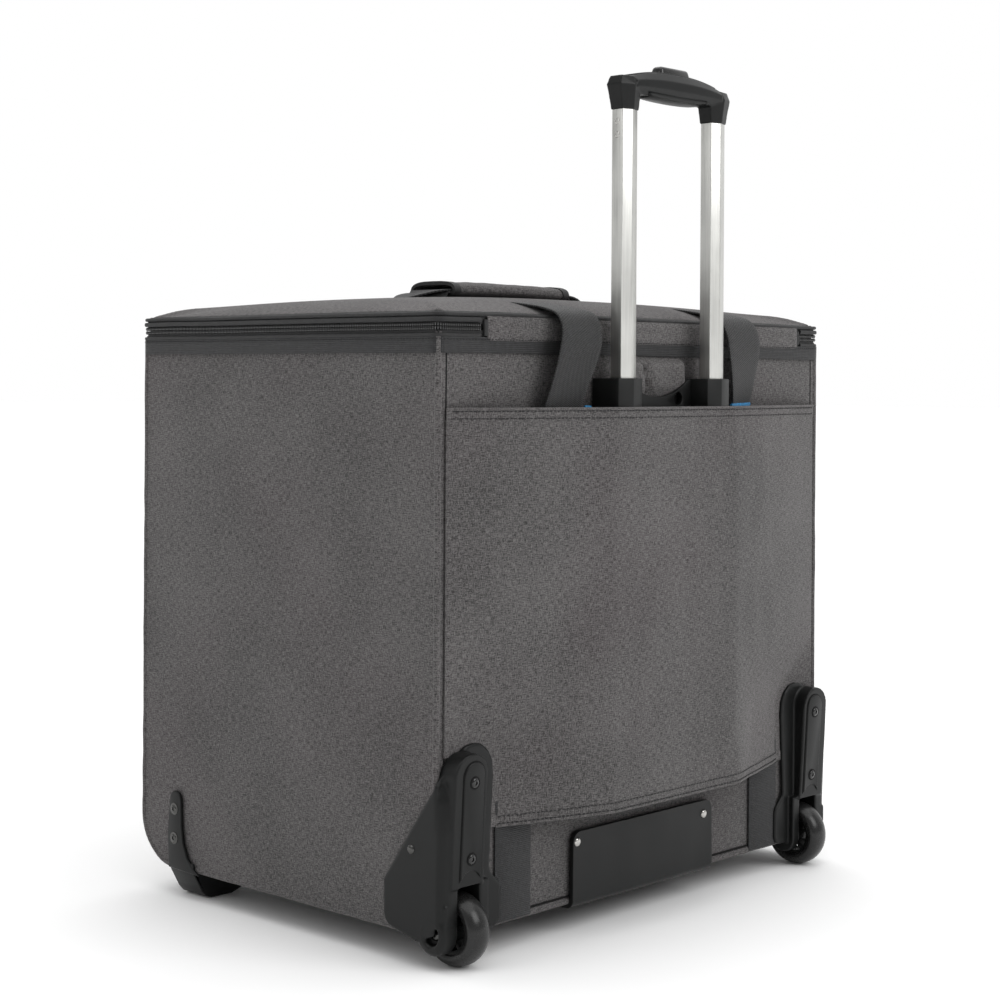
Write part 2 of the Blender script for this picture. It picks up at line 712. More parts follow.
def round_section(radius, sides=10, squash=1.0):
    turns = [2 * math.pi * i / sides for i in range(sides)]
    return [(radius * math.cos(t), radius * squash * math.sin(t)) for t in turns]


def flat_section(width, thickness, ends=3):
    """A strap's section: flat faces and round edges."""
    half, r = width / 2 - thickness / 2, thickness / 2
    turns = [math.pi * i / ends for i in range(ends + 1)]
    right = [(half + r * math.sin(t), r * math.cos(t)) for t in turns]
    return right + [(-a, -b) for a, b in right]


def joined(meshes):
    """Several meshes as one."""
    bm = bmesh.new()
    for mesh in meshes:
        bm.from_mesh(mesh)
    result = bpy.data.meshes.new("joined")
    bm.to_mesh(result)
    bm.free()
    return result


def run(start, end, step=0.006):
    """Points along a straight line."""
    start, end = Vector(start), Vector(end)
    count = max(1, round((end - start).length / step))
    return [start.lerp(end, i / count) for i in range(count + 1)]


def arc(centre, radius, start, end, steps=8):
    """(a, b) points on an arc, with its angles in degrees."""
    turns = [math.radians(start + (end - start) * i / steps) for i in range(steps + 1)]
    return [(centre[0] + radius * math.cos(t), centre[1] + radius * math.sin(t)) for t in turns]


print("sweep helpers ready")

# %% [markdown]
# Each side has one cord from the mouth down the front corner, round the toe and back along the lower
# edge, and another down the rear corner. A last cord runs along the bottom's rear edge.

# %% Corner piping
CORD = 0.0028


def toe_path(x, sink):
    """Down the front corner, round the toe and back along the side's lower edge."""
    turn = arc((-DEEP + TOE, BOTTOM + TOE), TOE - sink, 180, 270, 12)
    down = run((x, -DEEP + sink, RIM - 0.008), (x, -DEEP + sink, BOTTOM + TOE + 0.004))
    back = run((x, -DEEP + TOE + 0.004, BOTTOM + sink), (x, WELL_FRONT - 0.002, BOTTOM + sink))
    return down + [Vector((x, a, b)) for a, b in turn] + back


for side, sign in SIDES:
    edge = sign * (WIDE - CORD + 0.0002)
    rear = run((edge, DEEP - CORD + 0.0004, RIM - 0.008), (edge, DEEP - CORD + 0.0004, WELL_TOP + 0.002))
    cords = [sweep(toe_path(edge, CORD), round_section(CORD), up=(1, 0, 0), wobble=0.0003)[0],
             sweep(rear, round_section(CORD), up=(1, 0, 0), wobble=0.0003)[0]]
    keep(f"piping_{side}", joined(cords), FABRIC, "case", "fabric")
    grooves = []
    for over, back in ((0.0007, -0.0075), (-0.0075, 0.0006)):
        line = [p + Vector((-sign * (0.0014 - over) if over > 0 else sign * over, 0, 0)) for p in rear]
        line = [Vector((p.x, p.y + (back if back < 0 else 0.0012), p.z)) for p in line]
        grooves.append(sweep(line, round_section(0.0008, 6), up=(1, 0, 0))[0])
    keep(f"corner_groove_{side}", joined(grooves), DARK, "case", "fabric")
tail = run((-well_low.x + 0.014, DEEP - 0.002, BOTTOM + 0.002),
           (well_low.x - 0.014, DEEP - 0.002, BOTTOM + 0.002))
keep("piping_tail", sweep(tail, round_section(0.0032), wobble=0.0004)[0], FABRIC, "case", "fabric")
seam = [p + Vector((0, 0.0016, 0.0042)) for p in tail]
keep("tail_groove", sweep(seam, round_section(0.0008, 6))[0], DARK, "case", "fabric")
print("piping on", len(SIDES), "sides and the tail")

# %% [markdown]
# Teeth, stitches and screws repeat by the hundred, which is what Geometry Nodes are for. The first tree
# sets one small stamp at even steps along a curve, turned to follow it. The second sweeps a rounded
# strip along a curve, for the bands around the case's mouth. Each is built once with named inputs, and
# a helper runs it and keeps the result as a plain mesh.

# %% Node trees
class Graph:
    """A Geometry Nodes tree with named inputs."""

    def __init__(self, name, inputs):
        self.tree = bpy.data.node_groups.new(name, "GeometryNodeTree")
        face = self.tree.interface
        face.new_socket("Geometry", in_out="INPUT", socket_type="NodeSocketGeometry")
        face.new_socket("Geometry", in_out="OUTPUT", socket_type="NodeSocketGeometry")
        for label, kind in inputs:
            face.new_socket(label, in_out="INPUT", socket_type="NodeSocket" + kind)
        self.enter = self.tree.nodes.new("NodeGroupInput")
        self.leave = self.tree.nodes.new("NodeGroupOutput")

    def add(self, kind, settings=None, values=None):
        node = self.tree.nodes.new(kind)
        for key, value in (settings or {}).items():
            setattr(node, key, value)
        for key, value in (values or {}).items():
            if isinstance(value, bpy.types.NodeSocket):
                self.tree.links.new(value, node.inputs[key])
            else:
                node.inputs[key].default_value = value
        return node

    def end(self, geometry):
        real = self.add("GeometryNodeRealizeInstances", {}, {"Geometry": geometry})
        finish = self.add("GeometryNodeSetMaterial", {}, {
            "Geometry": real.outputs["Geometry"], "Material": self.enter.outputs["Material"],
        })
        self.tree.links.new(finish.outputs["Geometry"], self.leave.inputs["Geometry"])

    def run(self, data, **values):
        """The tree's result on a curve or mesh, as a plain mesh."""
        obj = bpy.data.objects.new("work", data)
        bpy.context.scene.collection.objects.link(obj)
        modifier = obj.modifiers.new("Nodes", "NODES")
        modifier.node_group = self.tree
        for item in self.tree.interface.items_tree:
            label = item.name.replace(" ", "_")
            if item.in_out == "INPUT" and label in values:
                modifier[item.identifier] = values[label]
        graph = bpy.context.evaluated_depsgraph_get()
        mesh = bpy.data.meshes.new_from_object(obj.evaluated_get(graph))
        bpy.data.objects.remove(obj)
        return mesh


def stamping_tree():
    """Sets a stamp at even steps along a curve, its X along the curve and its Z upright."""
    g = Graph("Stamp along a curve", [("Spacing", "Float"), ("Stamp", "Object"), ("Jitter", "Float"),
                                      ("Seed", "Int"), ("Material", "Material")])
    even = g.add("GeometryNodeResampleCurve", {"mode": "LENGTH"},
                 {"Curve": g.enter.outputs["Geometry"], "Length": g.enter.outputs["Spacing"]})
    along = g.add("GeometryNodeInputTangent")
    turn = g.add("FunctionNodeAlignRotationToVector", {"axis": "X"}, {"Vector": along.outputs["Tangent"]})
    upright = g.add("FunctionNodeAlignRotationToVector", {"axis": "Z", "pivot_axis": "X"},
                    {"Rotation": turn.outputs["Rotation"], "Vector": (0, 0, 1)})
    low = g.add("ShaderNodeMath", {"operation": "SUBTRACT"}, {0: 1.0, 1: g.enter.outputs["Jitter"]})
    high = g.add("ShaderNodeMath", {"operation": "ADD"}, {0: 1.0, 1: g.enter.outputs["Jitter"]})
    size = g.add("FunctionNodeRandomValue", {"data_type": "FLOAT"},
                 {2: low.outputs[0], 3: high.outputs[0], "Seed": g.enter.outputs["Seed"]})
    stamp = g.add("GeometryNodeObjectInfo", {}, {"Object": g.enter.outputs["Stamp"]})
    placed = g.add("GeometryNodeInstanceOnPoints", {}, {
        "Points": even.outputs["Curve"], "Instance": stamp.outputs["Geometry"],
        "Rotation": upright.outputs["Rotation"], "Scale": size.outputs[1],
    })
    g.end(placed.outputs["Instances"])
    return g


def facing_tree():
    """Sets a stamp on each point of a mesh, with its Z along the point's 'out' attribute."""
    g = Graph("Stamp on points", [("Stamp", "Object"), ("Turn", "Float"), ("Material", "Material")])
    points = g.add("GeometryNodeMeshToPoints", {}, {"Mesh": g.enter.outputs["Geometry"]})
    out = g.add("GeometryNodeInputNamedAttribute", {"data_type": "FLOAT_VECTOR"}, {"Name": "out"})
    turn = g.add("FunctionNodeAlignRotationToVector", {"axis": "Z"}, {"Vector": out.outputs[0]})
    number = g.add("GeometryNodeInputIndex")
    angle = g.add("ShaderNodeMath", {"operation": "MULTIPLY"},
                  {0: number.outputs[0], 1: g.enter.outputs["Turn"]})
    spin = g.add("FunctionNodeAxisAngleToRotation", {}, {"Axis": (0, 0, 1), "Angle": angle.outputs[0]})
    both = g.add("FunctionNodeRotateRotation", {"rotation_space": "LOCAL"},
                 {"Rotation": turn.outputs[0], "Rotate By": spin.outputs[0]})
    stamp = g.add("GeometryNodeObjectInfo", {}, {"Object": g.enter.outputs["Stamp"]})
    placed = g.add("GeometryNodeInstanceOnPoints", {}, {
        "Points": points.outputs["Points"], "Instance": stamp.outputs["Geometry"],
        "Rotation": both.outputs[0],
    })
    g.end(placed.outputs["Instances"])
    return g


def strip_tree():
    """Sweeps a strip with rounded edges along a curve."""
    g = Graph("Strip along a curve", [("Height", "Float"), ("Thickness", "Float"), ("Round", "Float"),
                                      ("Material", "Material")])
    outline = g.add("GeometryNodeCurvePrimitiveQuadrilateral", {"mode": "RECTANGLE"},
                    {"Width": g.enter.outputs["Thickness"], "Height": g.enter.outputs["Height"]})
    fillet = g.add("GeometryNodeFilletCurve", {"mode": "POLY"},
                   {"Curve": outline.outputs["Curve"], "Count": 3, "Radius": g.enter.outputs["Round"]})
    upright = g.add("GeometryNodeSetCurveNormal", {"mode": "Z_UP"},
                    {"Curve": g.enter.outputs["Geometry"]})
    swept = g.add("GeometryNodeCurveToMesh", {}, {
        "Curve": upright.outputs["Curve"], "Profile Curve": fillet.outputs["Curve"], "Fill Caps": True,
    })
    g.end(swept.outputs["Mesh"])
    return g


STAMPING, FACING, STRIP = stamping_tree(), facing_tree(), strip_tree()


def thread_line(points, closed=False):
    """A poly curve through points."""
    curve = bpy.data.curves.new("line", "CURVE")
    curve.dimensions = "3D"
    spline = curve.splines.new("POLY")
    spline.points.add(len(points) - 1)
    for point, at in zip(spline.points, points):
        point.co = (*at, 1)
    spline.use_cyclic_u = closed
    return curve


def stamp(name, mesh):
    """A hidden object for the trees to copy, removed at the end of the script."""
    obj = bpy.data.objects.new("stamp_" + name, mesh)
    bpy.context.scene.collection.objects.link(obj)
    obj.hide_render = True
    STAMPS.append(obj)
    return obj


def ball(x, y, z, rings=4, sides=8):
    """A small ellipsoid."""
    bm = bmesh.new()
    bmesh.ops.create_uvsphere(bm, u_segments=sides, v_segments=rings, radius=1.0)
    bmesh.ops.scale(bm, vec=(x, y, z), verts=bm.verts)
    mesh = bpy.data.meshes.new("ball")
    bm.to_mesh(mesh)
    bm.free()
    return mesh


def stitches(name, lines, material=None, body="case", spacing=0.0042):
    """Rows of stitches along lines of points."""
    material = material or GREY_THREAD
    meshes = [STAMPING.run(thread_line(line), Spacing=spacing, Stamp=STITCH, Jitter=0.08, Seed=3,
                           Material=material) for line in lines]
    obj = keep(name, joined(meshes), material, body, "fabric", cloth=False)
    print(name, len(obj.data.polygons) // 32, "stitches")
    return obj


STAMPS = []
STITCH = stamp("stitch", ball(0.00165, 0.00042, 0.00042, 4, 8))
TOOTH = stamp("tooth", ball(0.00062, 0.0011, 0.00165, 5, 8))
print(STAMPING.tree.name, "|", FACING.tree.name, "|", STRIP.tree.name)

# %% [markdown]
# Around the mouth run, from below: a ribbed black band sewn over the walls' raw edge, a sunk tape with
# the lower row of zip teeth, then on the lid the upper row, its tape and the lid's own dark piping. The
# zip stops short of the rear corners, where a grey cloth patch takes over as the hinge.

# %% Bands and zip
BAND_LOW = case_box("rim_band")[0].z
BAND_TOP = BAND_LOW + 0.0131
TEETH_LOW, TEETH_HIGH = RIM - 0.0012, RIM + 0.0022
LID_TAPE_TOP = case_box("lid_band")[1].z + 0.0012
LID_EDGE = case_box("lid_panel")[0].z + 0.0036
ZIP_END_LEFT, ZIP_END_RIGHT = 0.211, -0.229
CORNER = 0.007


def mouth(z, out, bow=0.0008):
    """A closed path round the mouth, from the middle of the rear, at a distance out of the walls."""
    wide, deep, r = WIDE + out, DEEP + out, CORNER + out
    corners = [((wide - r, deep - r), 90, 0), ((wide - r, r - deep), 0, -90),
               ((r - wide, r - deep), -90, -180), ((r - wide, deep - r), 180, 90)]
    points = [(0.0, deep)]
    for centre, start, end in corners:
        points += arc(centre, r, start, end, 6)
    points.append((0.0, deep))
    path = []
    for (ax, ay), (bx, by) in zip(points, points[1:]):
        count = max(1, round(math.hypot(bx - ax, by - ay) / 0.008))
        for i in range(count):
            x, y = ax + (bx - ax) * i / count, ay + (by - ay) * i / count
            sway = bow * noise.noise(Vector((x * 14, y * 14, 5.0)))
            path.append(Vector((x, y, z + sway)))
    return path


def zip_path(z, out):
    """The part of the mouth path that carries the zip: from one rear end round the front to the other."""
    path = mouth(z, out)
    rear = DEEP + out - 1e-4
    return [p for p in path if not (p.y > rear and ZIP_END_RIGHT < p.x < ZIP_END_LEFT)]


def band(name, path, height, thickness, material, body, closed, replaces=(), edge=0.0005):
    mesh = STRIP.run(thread_line(path, closed), Height=height, Thickness=thickness, Round=edge,
                     Material=material)
    return keep(name, mesh, material, body, "webbing", replaces)


band("mouth_band", mouth((BAND_LOW + BAND_TOP) / 2, 0.0004), BAND_TOP - BAND_LOW, 0.0026, RIBBED, "case",
     True, ["rim_band"])
band("zip_tape_low", mouth(BAND_TOP + 0.0024, -0.0016), 0.0062, 0.0016, TAPE, "case", True)
band("zip_lip_low", zip_path(BAND_TOP + 0.0013, 0.0006), 0.0030, 0.0030, TAPE, "case", False, edge=0.0012)
band("zip_tape_high", mouth((TEETH_HIGH + LID_TAPE_TOP) / 2 + 0.0006, -0.0014), LID_TAPE_TOP - TEETH_HIGH,
     0.0016, TAPE, "lid", True, ["lid_band"])
band("zip_lip_high", zip_path(TEETH_HIGH + 0.0040, 0.0008), 0.0038, 0.0032, TAPE, "lid", False,
     edge=0.0013)
band("lid_wall", mouth((TEETH_LOW + LID_EDGE) / 2, -0.0034), LID_EDGE - TEETH_LOW + 0.0010, 0.0012, TAPE,
     "lid", True)
band("lid_piping", mouth(LID_EDGE - 0.0018, 0.0002), 0.0032, 0.0034, TAPE, "lid", True, edge=0.0015)
for name, z, body in (("zip_teeth_low", TEETH_LOW, "case"), ("zip_teeth_high", TEETH_HIGH, "lid")):
    teeth = STAMPING.run(thread_line(zip_path(z, 0.0002)), Spacing=0.0021, Stamp=TOOTH, Jitter=0.0,
                         Seed=1, Material=ZIP_TOOTH)
    print(name, len(teeth.polygons))
    keep(name, teeth, ZIP_TOOTH, body, "webbing", cloth=False)
stitches("band_stitches", [mouth(BAND_TOP - 0.0018, 0.0018) + mouth(BAND_TOP - 0.0018, 0.0018)[:1]],
         THREAD, spacing=0.0036)

# %% [markdown]
# The hinge patch is a straight strip of the case's cloth across the rear, from one end of the zip to
# the other. It is sewn to the band below with a dark row of stitches, and the lid turns about its
# upper edge, so the patch itself stays on the case.

# %% Hinge patch and zip ends
PATCH_LOW, PATCH_HIGH = BAND_TOP - 0.0030, LID_EDGE - 0.0030


def patch_point(x, z):
    rise = smooth(z, PATCH_LOW, PATCH_LOW + 0.004) * (1 - smooth(z, PATCH_HIGH - 0.004, PATCH_HIGH))
    ends = smooth(min(x - ZIP_END_RIGHT, ZIP_END_LEFT - x), 0.0, 0.006)
    wave = 0.0010 * noise.noise(Vector((x * 38, z * 60, 9.0)))
    return x, DEEP + 0.0016 + (0.0022 * rise + wave * rise) * ends, z


patch_columns = levels(ZIP_END_RIGHT + 0.001, ZIP_END_LEFT - 0.001, 0.004)
patch_rows = levels(PATCH_LOW, PATCH_HIGH, 0.0018)
wall("hinge_patch", patch_point, patch_columns, patch_rows, lambda x, z: True, (0, 1, 0), ())
stitches("patch_stitches", [run((ZIP_END_RIGHT + 0.003, DEEP + 0.0022, PATCH_LOW + 0.0012),
                                (ZIP_END_LEFT - 0.003, DEEP + 0.0022, PATCH_LOW + 0.0012))], THREAD,
                                spacing=0.0036)
for side, x in (("left", ZIP_END_LEFT), ("right", ZIP_END_RIGHT)):
    stop = run((x, DEEP + 0.0006, BAND_TOP + 0.001), (x, DEEP + 0.0006, LID_EDGE - 0.006), 0.002)
    keep(f"zip_stop_{side}", sweep(stop, flat_section(0.005, 0.0034), up=(0, 1, 0))[0], TAPE, "case",
         "webbing")
print("hinge patch", round(ZIP_END_LEFT - ZIP_END_RIGHT, 3), "long")

# %% [markdown]
# The lid is a padded panel: a crowned form that rolls over at its piped edge. It starts as a closed
# solid a little smaller than it ends, is remeshed evenly, and is blown up by a short cloth simulation
# with its rim held. A cap on each point's travel keeps it in its space, and one subdivision smooths
# it. The simulation gives what a formula misses: the small uneven tucks along the edge.

# %% Inflate a padded form
def inflate(mesh, voxel, pressure, cap, held, frames=20):
    """Remeshes a closed form and swells it by cloth pressure, with each point's travel capped."""
    base = settle(mesh, ("REMESH", {"mode": "VOXEL", "voxel_size": voxel}))
    rest = [v.co.copy() for v in base.vertices]
    obj = bpy.data.objects.new("pad", base)
    bpy.context.scene.collection.objects.link(obj)
    group = obj.vertex_groups.new(name="held")
    group.add([v.index for v in base.vertices if held(v.co)], 1.0, "REPLACE")
    cloth = obj.modifiers.new("Cloth", "CLOTH")
    cloth.settings.use_pressure = True
    cloth.settings.uniform_pressure_force = pressure
    cloth.settings.vertex_group_mass = "held"
    cloth.settings.effector_weights.gravity = 0
    cloth.settings.quality = 4
    scene = bpy.context.scene
    for number in range(1, frames + 1):
        scene.frame_set(number)
    graph = bpy.context.evaluated_depsgraph_get()
    swollen = bpy.data.meshes.new_from_object(obj.evaluated_get(graph))
    bpy.data.objects.remove(obj)
    scene.frame_set(1)
    for vertex, start in zip(swollen.vertices, rest):
        moved = vertex.co - start
        if moved.length > cap:
            vertex.co = start + moved * (cap / moved.length)
    return settle(swollen, ("SUBSURF", {"levels": 1, "render_levels": 1}))


print("inflating helper ready")

# %% [markdown]
# The lid's height is a rule of its own, and the straps are laid by the same rule, though the pad then
# swells a little above it. The pad is a grid doubled downwards, with its corners rounded. Its sewn
# edge and its underside are held while it swells.

# %% Lid
LID_CROWN = 0.0168
LID_CORNER = 0.012
ROLL = 0.0060


def lid_top(x, y):
    """Height of the lid's cloth."""
    inside = min(WIDE - abs(x), DEEP - abs(y))
    roll = 0.0062 * (1 - math.exp(-max(0.0, inside) / ROLL))
    bow = (1 - min(1.0, abs(x) / WIDE) ** 2.6) * (1 - min(1.0, abs(y) / DEEP) ** 2.6)
    return LID_EDGE - 0.0012 + roll + (LID_CROWN - 0.004) * bow


def lid_form():
    bm = bmesh.new()
    bmesh.ops.create_grid(bm, x_segments=66, y_segments=48, size=1.0)
    under = bmesh.ops.extrude_face_region(bm, geom=bm.faces[:])["geom"]
    lower = {part for part in under if isinstance(part, bmesh.types.BMVert)}
    for vertex in bm.verts:
        x, y = vertex.co.x * (WIDE - 0.0004), vertex.co.y * (DEEP - 0.0004)
        r = LID_CORNER
        over_x, over_y = max(0.0, abs(x) - (WIDE - r)), max(0.0, abs(y) - (DEEP - r))
        reach = math.hypot(over_x, over_y)
        if over_x and over_y and reach > r:
            x = math.copysign(WIDE - r + over_x * r / reach, x)
            y = math.copysign(DEEP - r + over_y * r / reach, y)
        vertex.co = (x, y, LID_EDGE - 0.0030 if vertex in lower else lid_top(x, y))
    bmesh.ops.recalc_face_normals(bm, faces=bm.faces)
    mesh = bpy.data.meshes.new("lid")
    bm.to_mesh(mesh)
    bm.free()
    return mesh


def on_lid_seam(at):
    return at.z < LID_EDGE + 0.001 and (abs(at.x) > WIDE - 0.006
                                        or abs(at.y) > DEEP - 0.006) or at.z < LID_EDGE - 0.002


lid_mesh = inflate(lid_form(), 0.0055, 3.5, 0.0032, on_lid_seam)
lid = keep("lid_pad", lid_mesh, FABRIC, "lid", "fabric", ["lid_panel"], sharp=60)
print("lid", len(lid.data.polygons), "faces, up to", round(max(v.co.z for v in lid.data.vertices), 4))

# %% [markdown]
# The trolley cover is one cloth panel sewn down both corner seams, hemmed above and below, and pushed
# out by the handle's tubes behind it. Its plan is a wide bow; a few slow waves and a low bump show
# where it is slack. Where a wheel housing is bolted on, the cloth is trapped flat beneath it. The hems
# are the same cloth folded double, so they stand out by a thread's thickness, with two sewn rows.

# %% Trolley cover
cover_low, cover_high = case_box("trolley_cover")
COVER_OUT = cover_high.y - DEEP - 0.0030
SHOULDER = socket_high.x + 0.002
COVER_EDGE = WIDE - 0.0085
HEM_DEPTH = 0.0095
housing_high = case_box("wheel_housing_left")[1]
FLANGE_INNER = 0.202


def cover_out(x, z):
    """How far the cover stands out of the rear wall."""
    free = smooth(z, housing_high.z - 0.022, housing_high.z + 0.045)
    foot = FLANGE_INNER - 0.006 + (COVER_EDGE - FLANGE_INNER + 0.006) * free
    reach = min(1.0, max(0.0, (foot - abs(x)) / (foot - SHOULDER)))
    bow = reach ** 0.92
    waves = 0.0016 * noise.noise(Vector((x * 11, z * 8, 31.0))) * reach
    waves += 0.0008 * noise.noise(Vector((x * 45, z * 16, 33.0))) * smooth(reach, 0, 0.2)
    bump = 0.0026 * math.exp(-(((x + 0.085) / 0.035) ** 2) - ((z - 0.128) / 0.012) ** 2)
    flare = 0.0020 * (1 - smooth(z, cover_low.z, cover_low.z + 0.05)) * reach
    return 0.0012 + COVER_OUT * bow + waves + bump + flare


def cover_place(x, z):
    fold = 0.0007 * (1 - smooth(min(z - cover_low.z, HEM - z), HEM_DEPTH - 0.0012, HEM_DEPTH + 0.0006))
    return x, DEEP + cover_out(x, z) + fold, z


def cover_kept(x, z):
    return abs(x) < FLANGE_INNER + 0.005 or z > housing_high.z - 0.030 + 0.35 * (abs(x) - FLANGE_INNER)


hem_rows = [cover_low.z + 0.0016 * i for i in range(7)] + [HEM - 0.0016 * i for i in range(7)]
cover_rows = sorted(set(levels(cover_low.z + 0.0115, HEM - 0.0115, 0.0065) + hem_rows))
wall("trolley_sheet", cover_place, levels(-COVER_EDGE, COVER_EDGE, 0.0055), cover_rows, cover_kept,
     (0, 1, 0), ["trolley_cover"])
girth = sum(math.dist(cover_place(a, 0.3)[:2], cover_place(a + 0.005, 0.3)[:2]) for a in
            (-COVER_EDGE + 0.005 * i for i in range(round(2 * COVER_EDGE / 0.005))))


def along_cover(z, low, high, lift=0.0010):
    """A line across the cover at one height."""
    count = round((high - low) / 0.006)
    xs = [low + (high - low) * i / count for i in range(count + 1)]
    return [Vector(cover_place(x, z)) + Vector((0, lift - 0.0006, 0)) for x in xs]


LOW_HALF = FLANGE_INNER - 0.008
stitches("cover_stitches", [
    along_cover(HEM - 0.0021, 0.006 - COVER_EDGE, COVER_EDGE - 0.006),
    along_cover(HEM - 0.0080, 0.006 - COVER_EDGE, COVER_EDGE - 0.006),
    along_cover(cover_low.z + 0.0021, -LOW_HALF, LOW_HALF),
    along_cover(cover_low.z + 0.0080, -LOW_HALF, LOW_HALF),
], THREAD, spacing=0.0040)
folds = [sweep(along_cover(z, -half, half, 0.0), round_section(0.0014, 8))[0]
         for z, half in ((HEM - 0.0004, COVER_EDGE), (cover_low.z + 0.0004, LOW_HALF + 0.003))]
keep("cover_folds", joined(folds), FABRIC, "case", "fabric")
print("cover is", round(girth, 3), "m round")

# %% [markdown]
# Two black webbing strips run down the rear wall and under the cover: they are the ends of the straps
# that carry the load round the bottom. A small blue tab of edging is caught at the hem.

# %% Load strips and blue tab
STRIP_X, STRIP_WIDTH = 0.1755, 0.0435
for side, sign in SIDES:
    x = sign * STRIP_X
    strip = run((x, DEEP + 0.0010, BOTTOM + 0.001), (x, DEEP + 0.0010, cover_low.z + 0.020))
    shape, flat = sweep(strip, flat_section(STRIP_WIDTH, 0.0016), up=(0, 1, 0))
    keep(f"load_strip_{side}", shape, RIBBED, "case", "webbing", cloth=flat)
tabs = [run((-0.0960, DEEP + 0.0205, HEM + 0.0010), (-0.1440, DEEP + 0.0062, HEM + 0.0018), 0.003),
        run((0.1085, DEEP + 0.0190, HEM + 0.0004), (0.1010, DEEP + 0.0190, HEM + 0.0002), 0.002)]
shape = joined([sweep(tab, flat_section(0.0040, 0.0022), up=(0, 1, 0), wobble=0.0006)[0] for tab in tabs])
keep("blue_tabs", shape, BLUE, "case", "webbing")
print("two strips and two tabs")

# %% [markdown]
# The carry straps are 50 mm webbing. The rear one is a single length: it comes up from behind the
# cover, stands off the wall, curls over the lid's edge, runs to the wrap, along it, and back the same
# way. Its two ends stay on the case while its middle rides on the lid, so it is blended across the
# hinge. The front one is sewn to the lid. A strap is a section carried along a smooth curve, with its
# own across direction at each point, which is the only way to turn a flat strap's corner neatly.

# %% Strap along a route
STRAP_WIDTH = 0.0495
STRAP_THICK = 0.0017
OUT = case_box("carry_strap_rear")[1].x - STRAP_WIDTH / 2


def smooth_route(points, per=10):
    """A Catmull-Rom curve through the points."""
    ends = [2 * points[0] - points[1], *points, 2 * points[-1] - points[-2]]
    route = []
    for a, b, c, d in zip(ends, ends[1:], ends[2:], ends[3:]):
        for i in range(per):
            t = i / per
            route.append(0.5 * ((2 * b) + (c - a) * t + (2 * a - 5 * b + 4 * c - d) * t * t
                                + (3 * b - a - 3 * c + d) * t * t * t))
    return [*route, points[-1]]


def strap_mesh(left, right, thickness=STRAP_THICK, across=8):
    """A strap between its two edges, slightly cupped, with UVs along its length."""
    verts, faces, flat, run_length = [], [], [], 0.0
    middles = [(a + b) / 2 for a, b in zip(left, right)]
    for i, (a, b) in enumerate(zip(left, right)):
        run_length += (middles[i] - middles[i - 1]).length if i else 0.0
        for j in range(across + 1):
            t = j / across
            verts.append(a.lerp(b, t))
            flat.append((t * (b - a).length, run_length))
    for i in range(len(left) - 1):
        for j in range(across):
            k = i * (across + 1) + j
            faces.append((k, k + 1, k + across + 2, k + across + 1))
    mesh = bpy.data.meshes.new("strap")
    mesh.from_pydata(verts, [], faces)
    layer = mesh.uv_layers.new(name="cloth")
    for loop in mesh.loops:
        layer.data[loop.index].uv = flat[loop.vertex_index]
    return settle(mesh, ("SOLIDIFY", {"thickness": thickness, "offset": 1}),
                  ("BEVEL", {"width": 0.0005, "segments": 2, "limit_method": "ANGLE"})), run_length


def lid_rest(x, y):
    """Height of the lid under a strap, levelled off near its edge."""
    return max(lid_top(x * 0.985, y * 0.985), lid_top(x, y)) + 0.0016


EDGE_REST = lid_rest(OUT, DEEP - 0.003) + 0.0015
print("strap over the lid edge at", round(EDGE_REST, 4))
# Centre, distance out of the wall, height and twist of each end of the rear strap, going up.
ROOTS = {
    "left": [(0.1360, 0.0035, 0.400, 0), (0.1345, 0.0090, 0.428, 2), (0.1312, 0.0145, 0.448, 4),
             (0.1235, 0.0190, 0.474, 2), (0.1150, 0.0205, 0.498, -2), (0.1120, 0.0190, 0.516, 0),
             (OUT, 0.0125, EDGE_REST - 0.0055, 0), (OUT, -0.0030, EDGE_REST, 0)],
    "right": [(0.1310, 0.0050, 0.400, -8), (0.1285, 0.0085, 0.428, -14), (0.1248, 0.0115, 0.448, -18),
              (0.1205, 0.0170, 0.474, -12), (0.1180, 0.0200, 0.498, -3), (0.1160, 0.0190, 0.516, 0),
              (OUT, 0.0125, EDGE_REST - 0.0055, 0), (OUT, -0.0030, EDGE_REST, 0)],
}
WRAP_END, STRAP_FALL = 0.0800, 0.045


def lid_strap(sign, run_height, root):
    """Edges of half a strap, from its root, or else the lid's edge, to the middle of the wrap."""
    bend = 0.028
    corner = OUT - bend
    stations = [(Vector((OUT, y, 0)), Vector((1, 0, 0))) for y in levels(bend, DEEP - 0.012, 0.012)[::-1]]
    stations += [(Vector((corner + bend * math.cos(t), bend * (1 - math.sin(t)), 0)),
                  Vector((math.cos(t), -math.sin(t), 0)))
                 for t in (math.radians(9 * i) for i in range(1, 11))]
    stations += [(Vector((x, 0, 0)), Vector((0, -1, 0)))
                 for x in levels(0.0, corner - 0.004, 0.010)[::-1]]
    edges = ([], [])
    for at, across in stations:
        near = 1 - smooth(at.x + at.y, WRAP_END, WRAP_END + STRAP_FALL)
        for edge, reach in zip(edges, (-STRAP_WIDTH / 2, STRAP_WIDTH / 2)):
            p = at + across * reach
            height = lid_rest(p.x, p.y)
            lifted = height + (max(height, run_height) - height) * near
            edge.append(Vector((p.x, sign * p.y, lifted)))
    if root:
        starts = [[], []]
        for x, out, z, twist in root:
            across = Vector((math.cos(math.radians(twist)), math.sin(math.radians(twist)), 0))
            for edge, reach in zip(starts, (-STRAP_WIDTH / 2, STRAP_WIDTH / 2)):
                edge.append(Vector((x, DEEP + out, z)) + across * reach)
        merged = []
        for start, edge in zip(starts, edges):
            merged.append(smooth_route(start + [edge[1]], 6) + edge[2:])
        edges = merged
    else:
        tuck = [Vector((0, sign * 0.0135, -0.0060)), Vector((0, sign * 0.0085, -0.0022))]
        edges = [[edge[0] + t for t in tuck] + edge for edge in edges]
    return edges


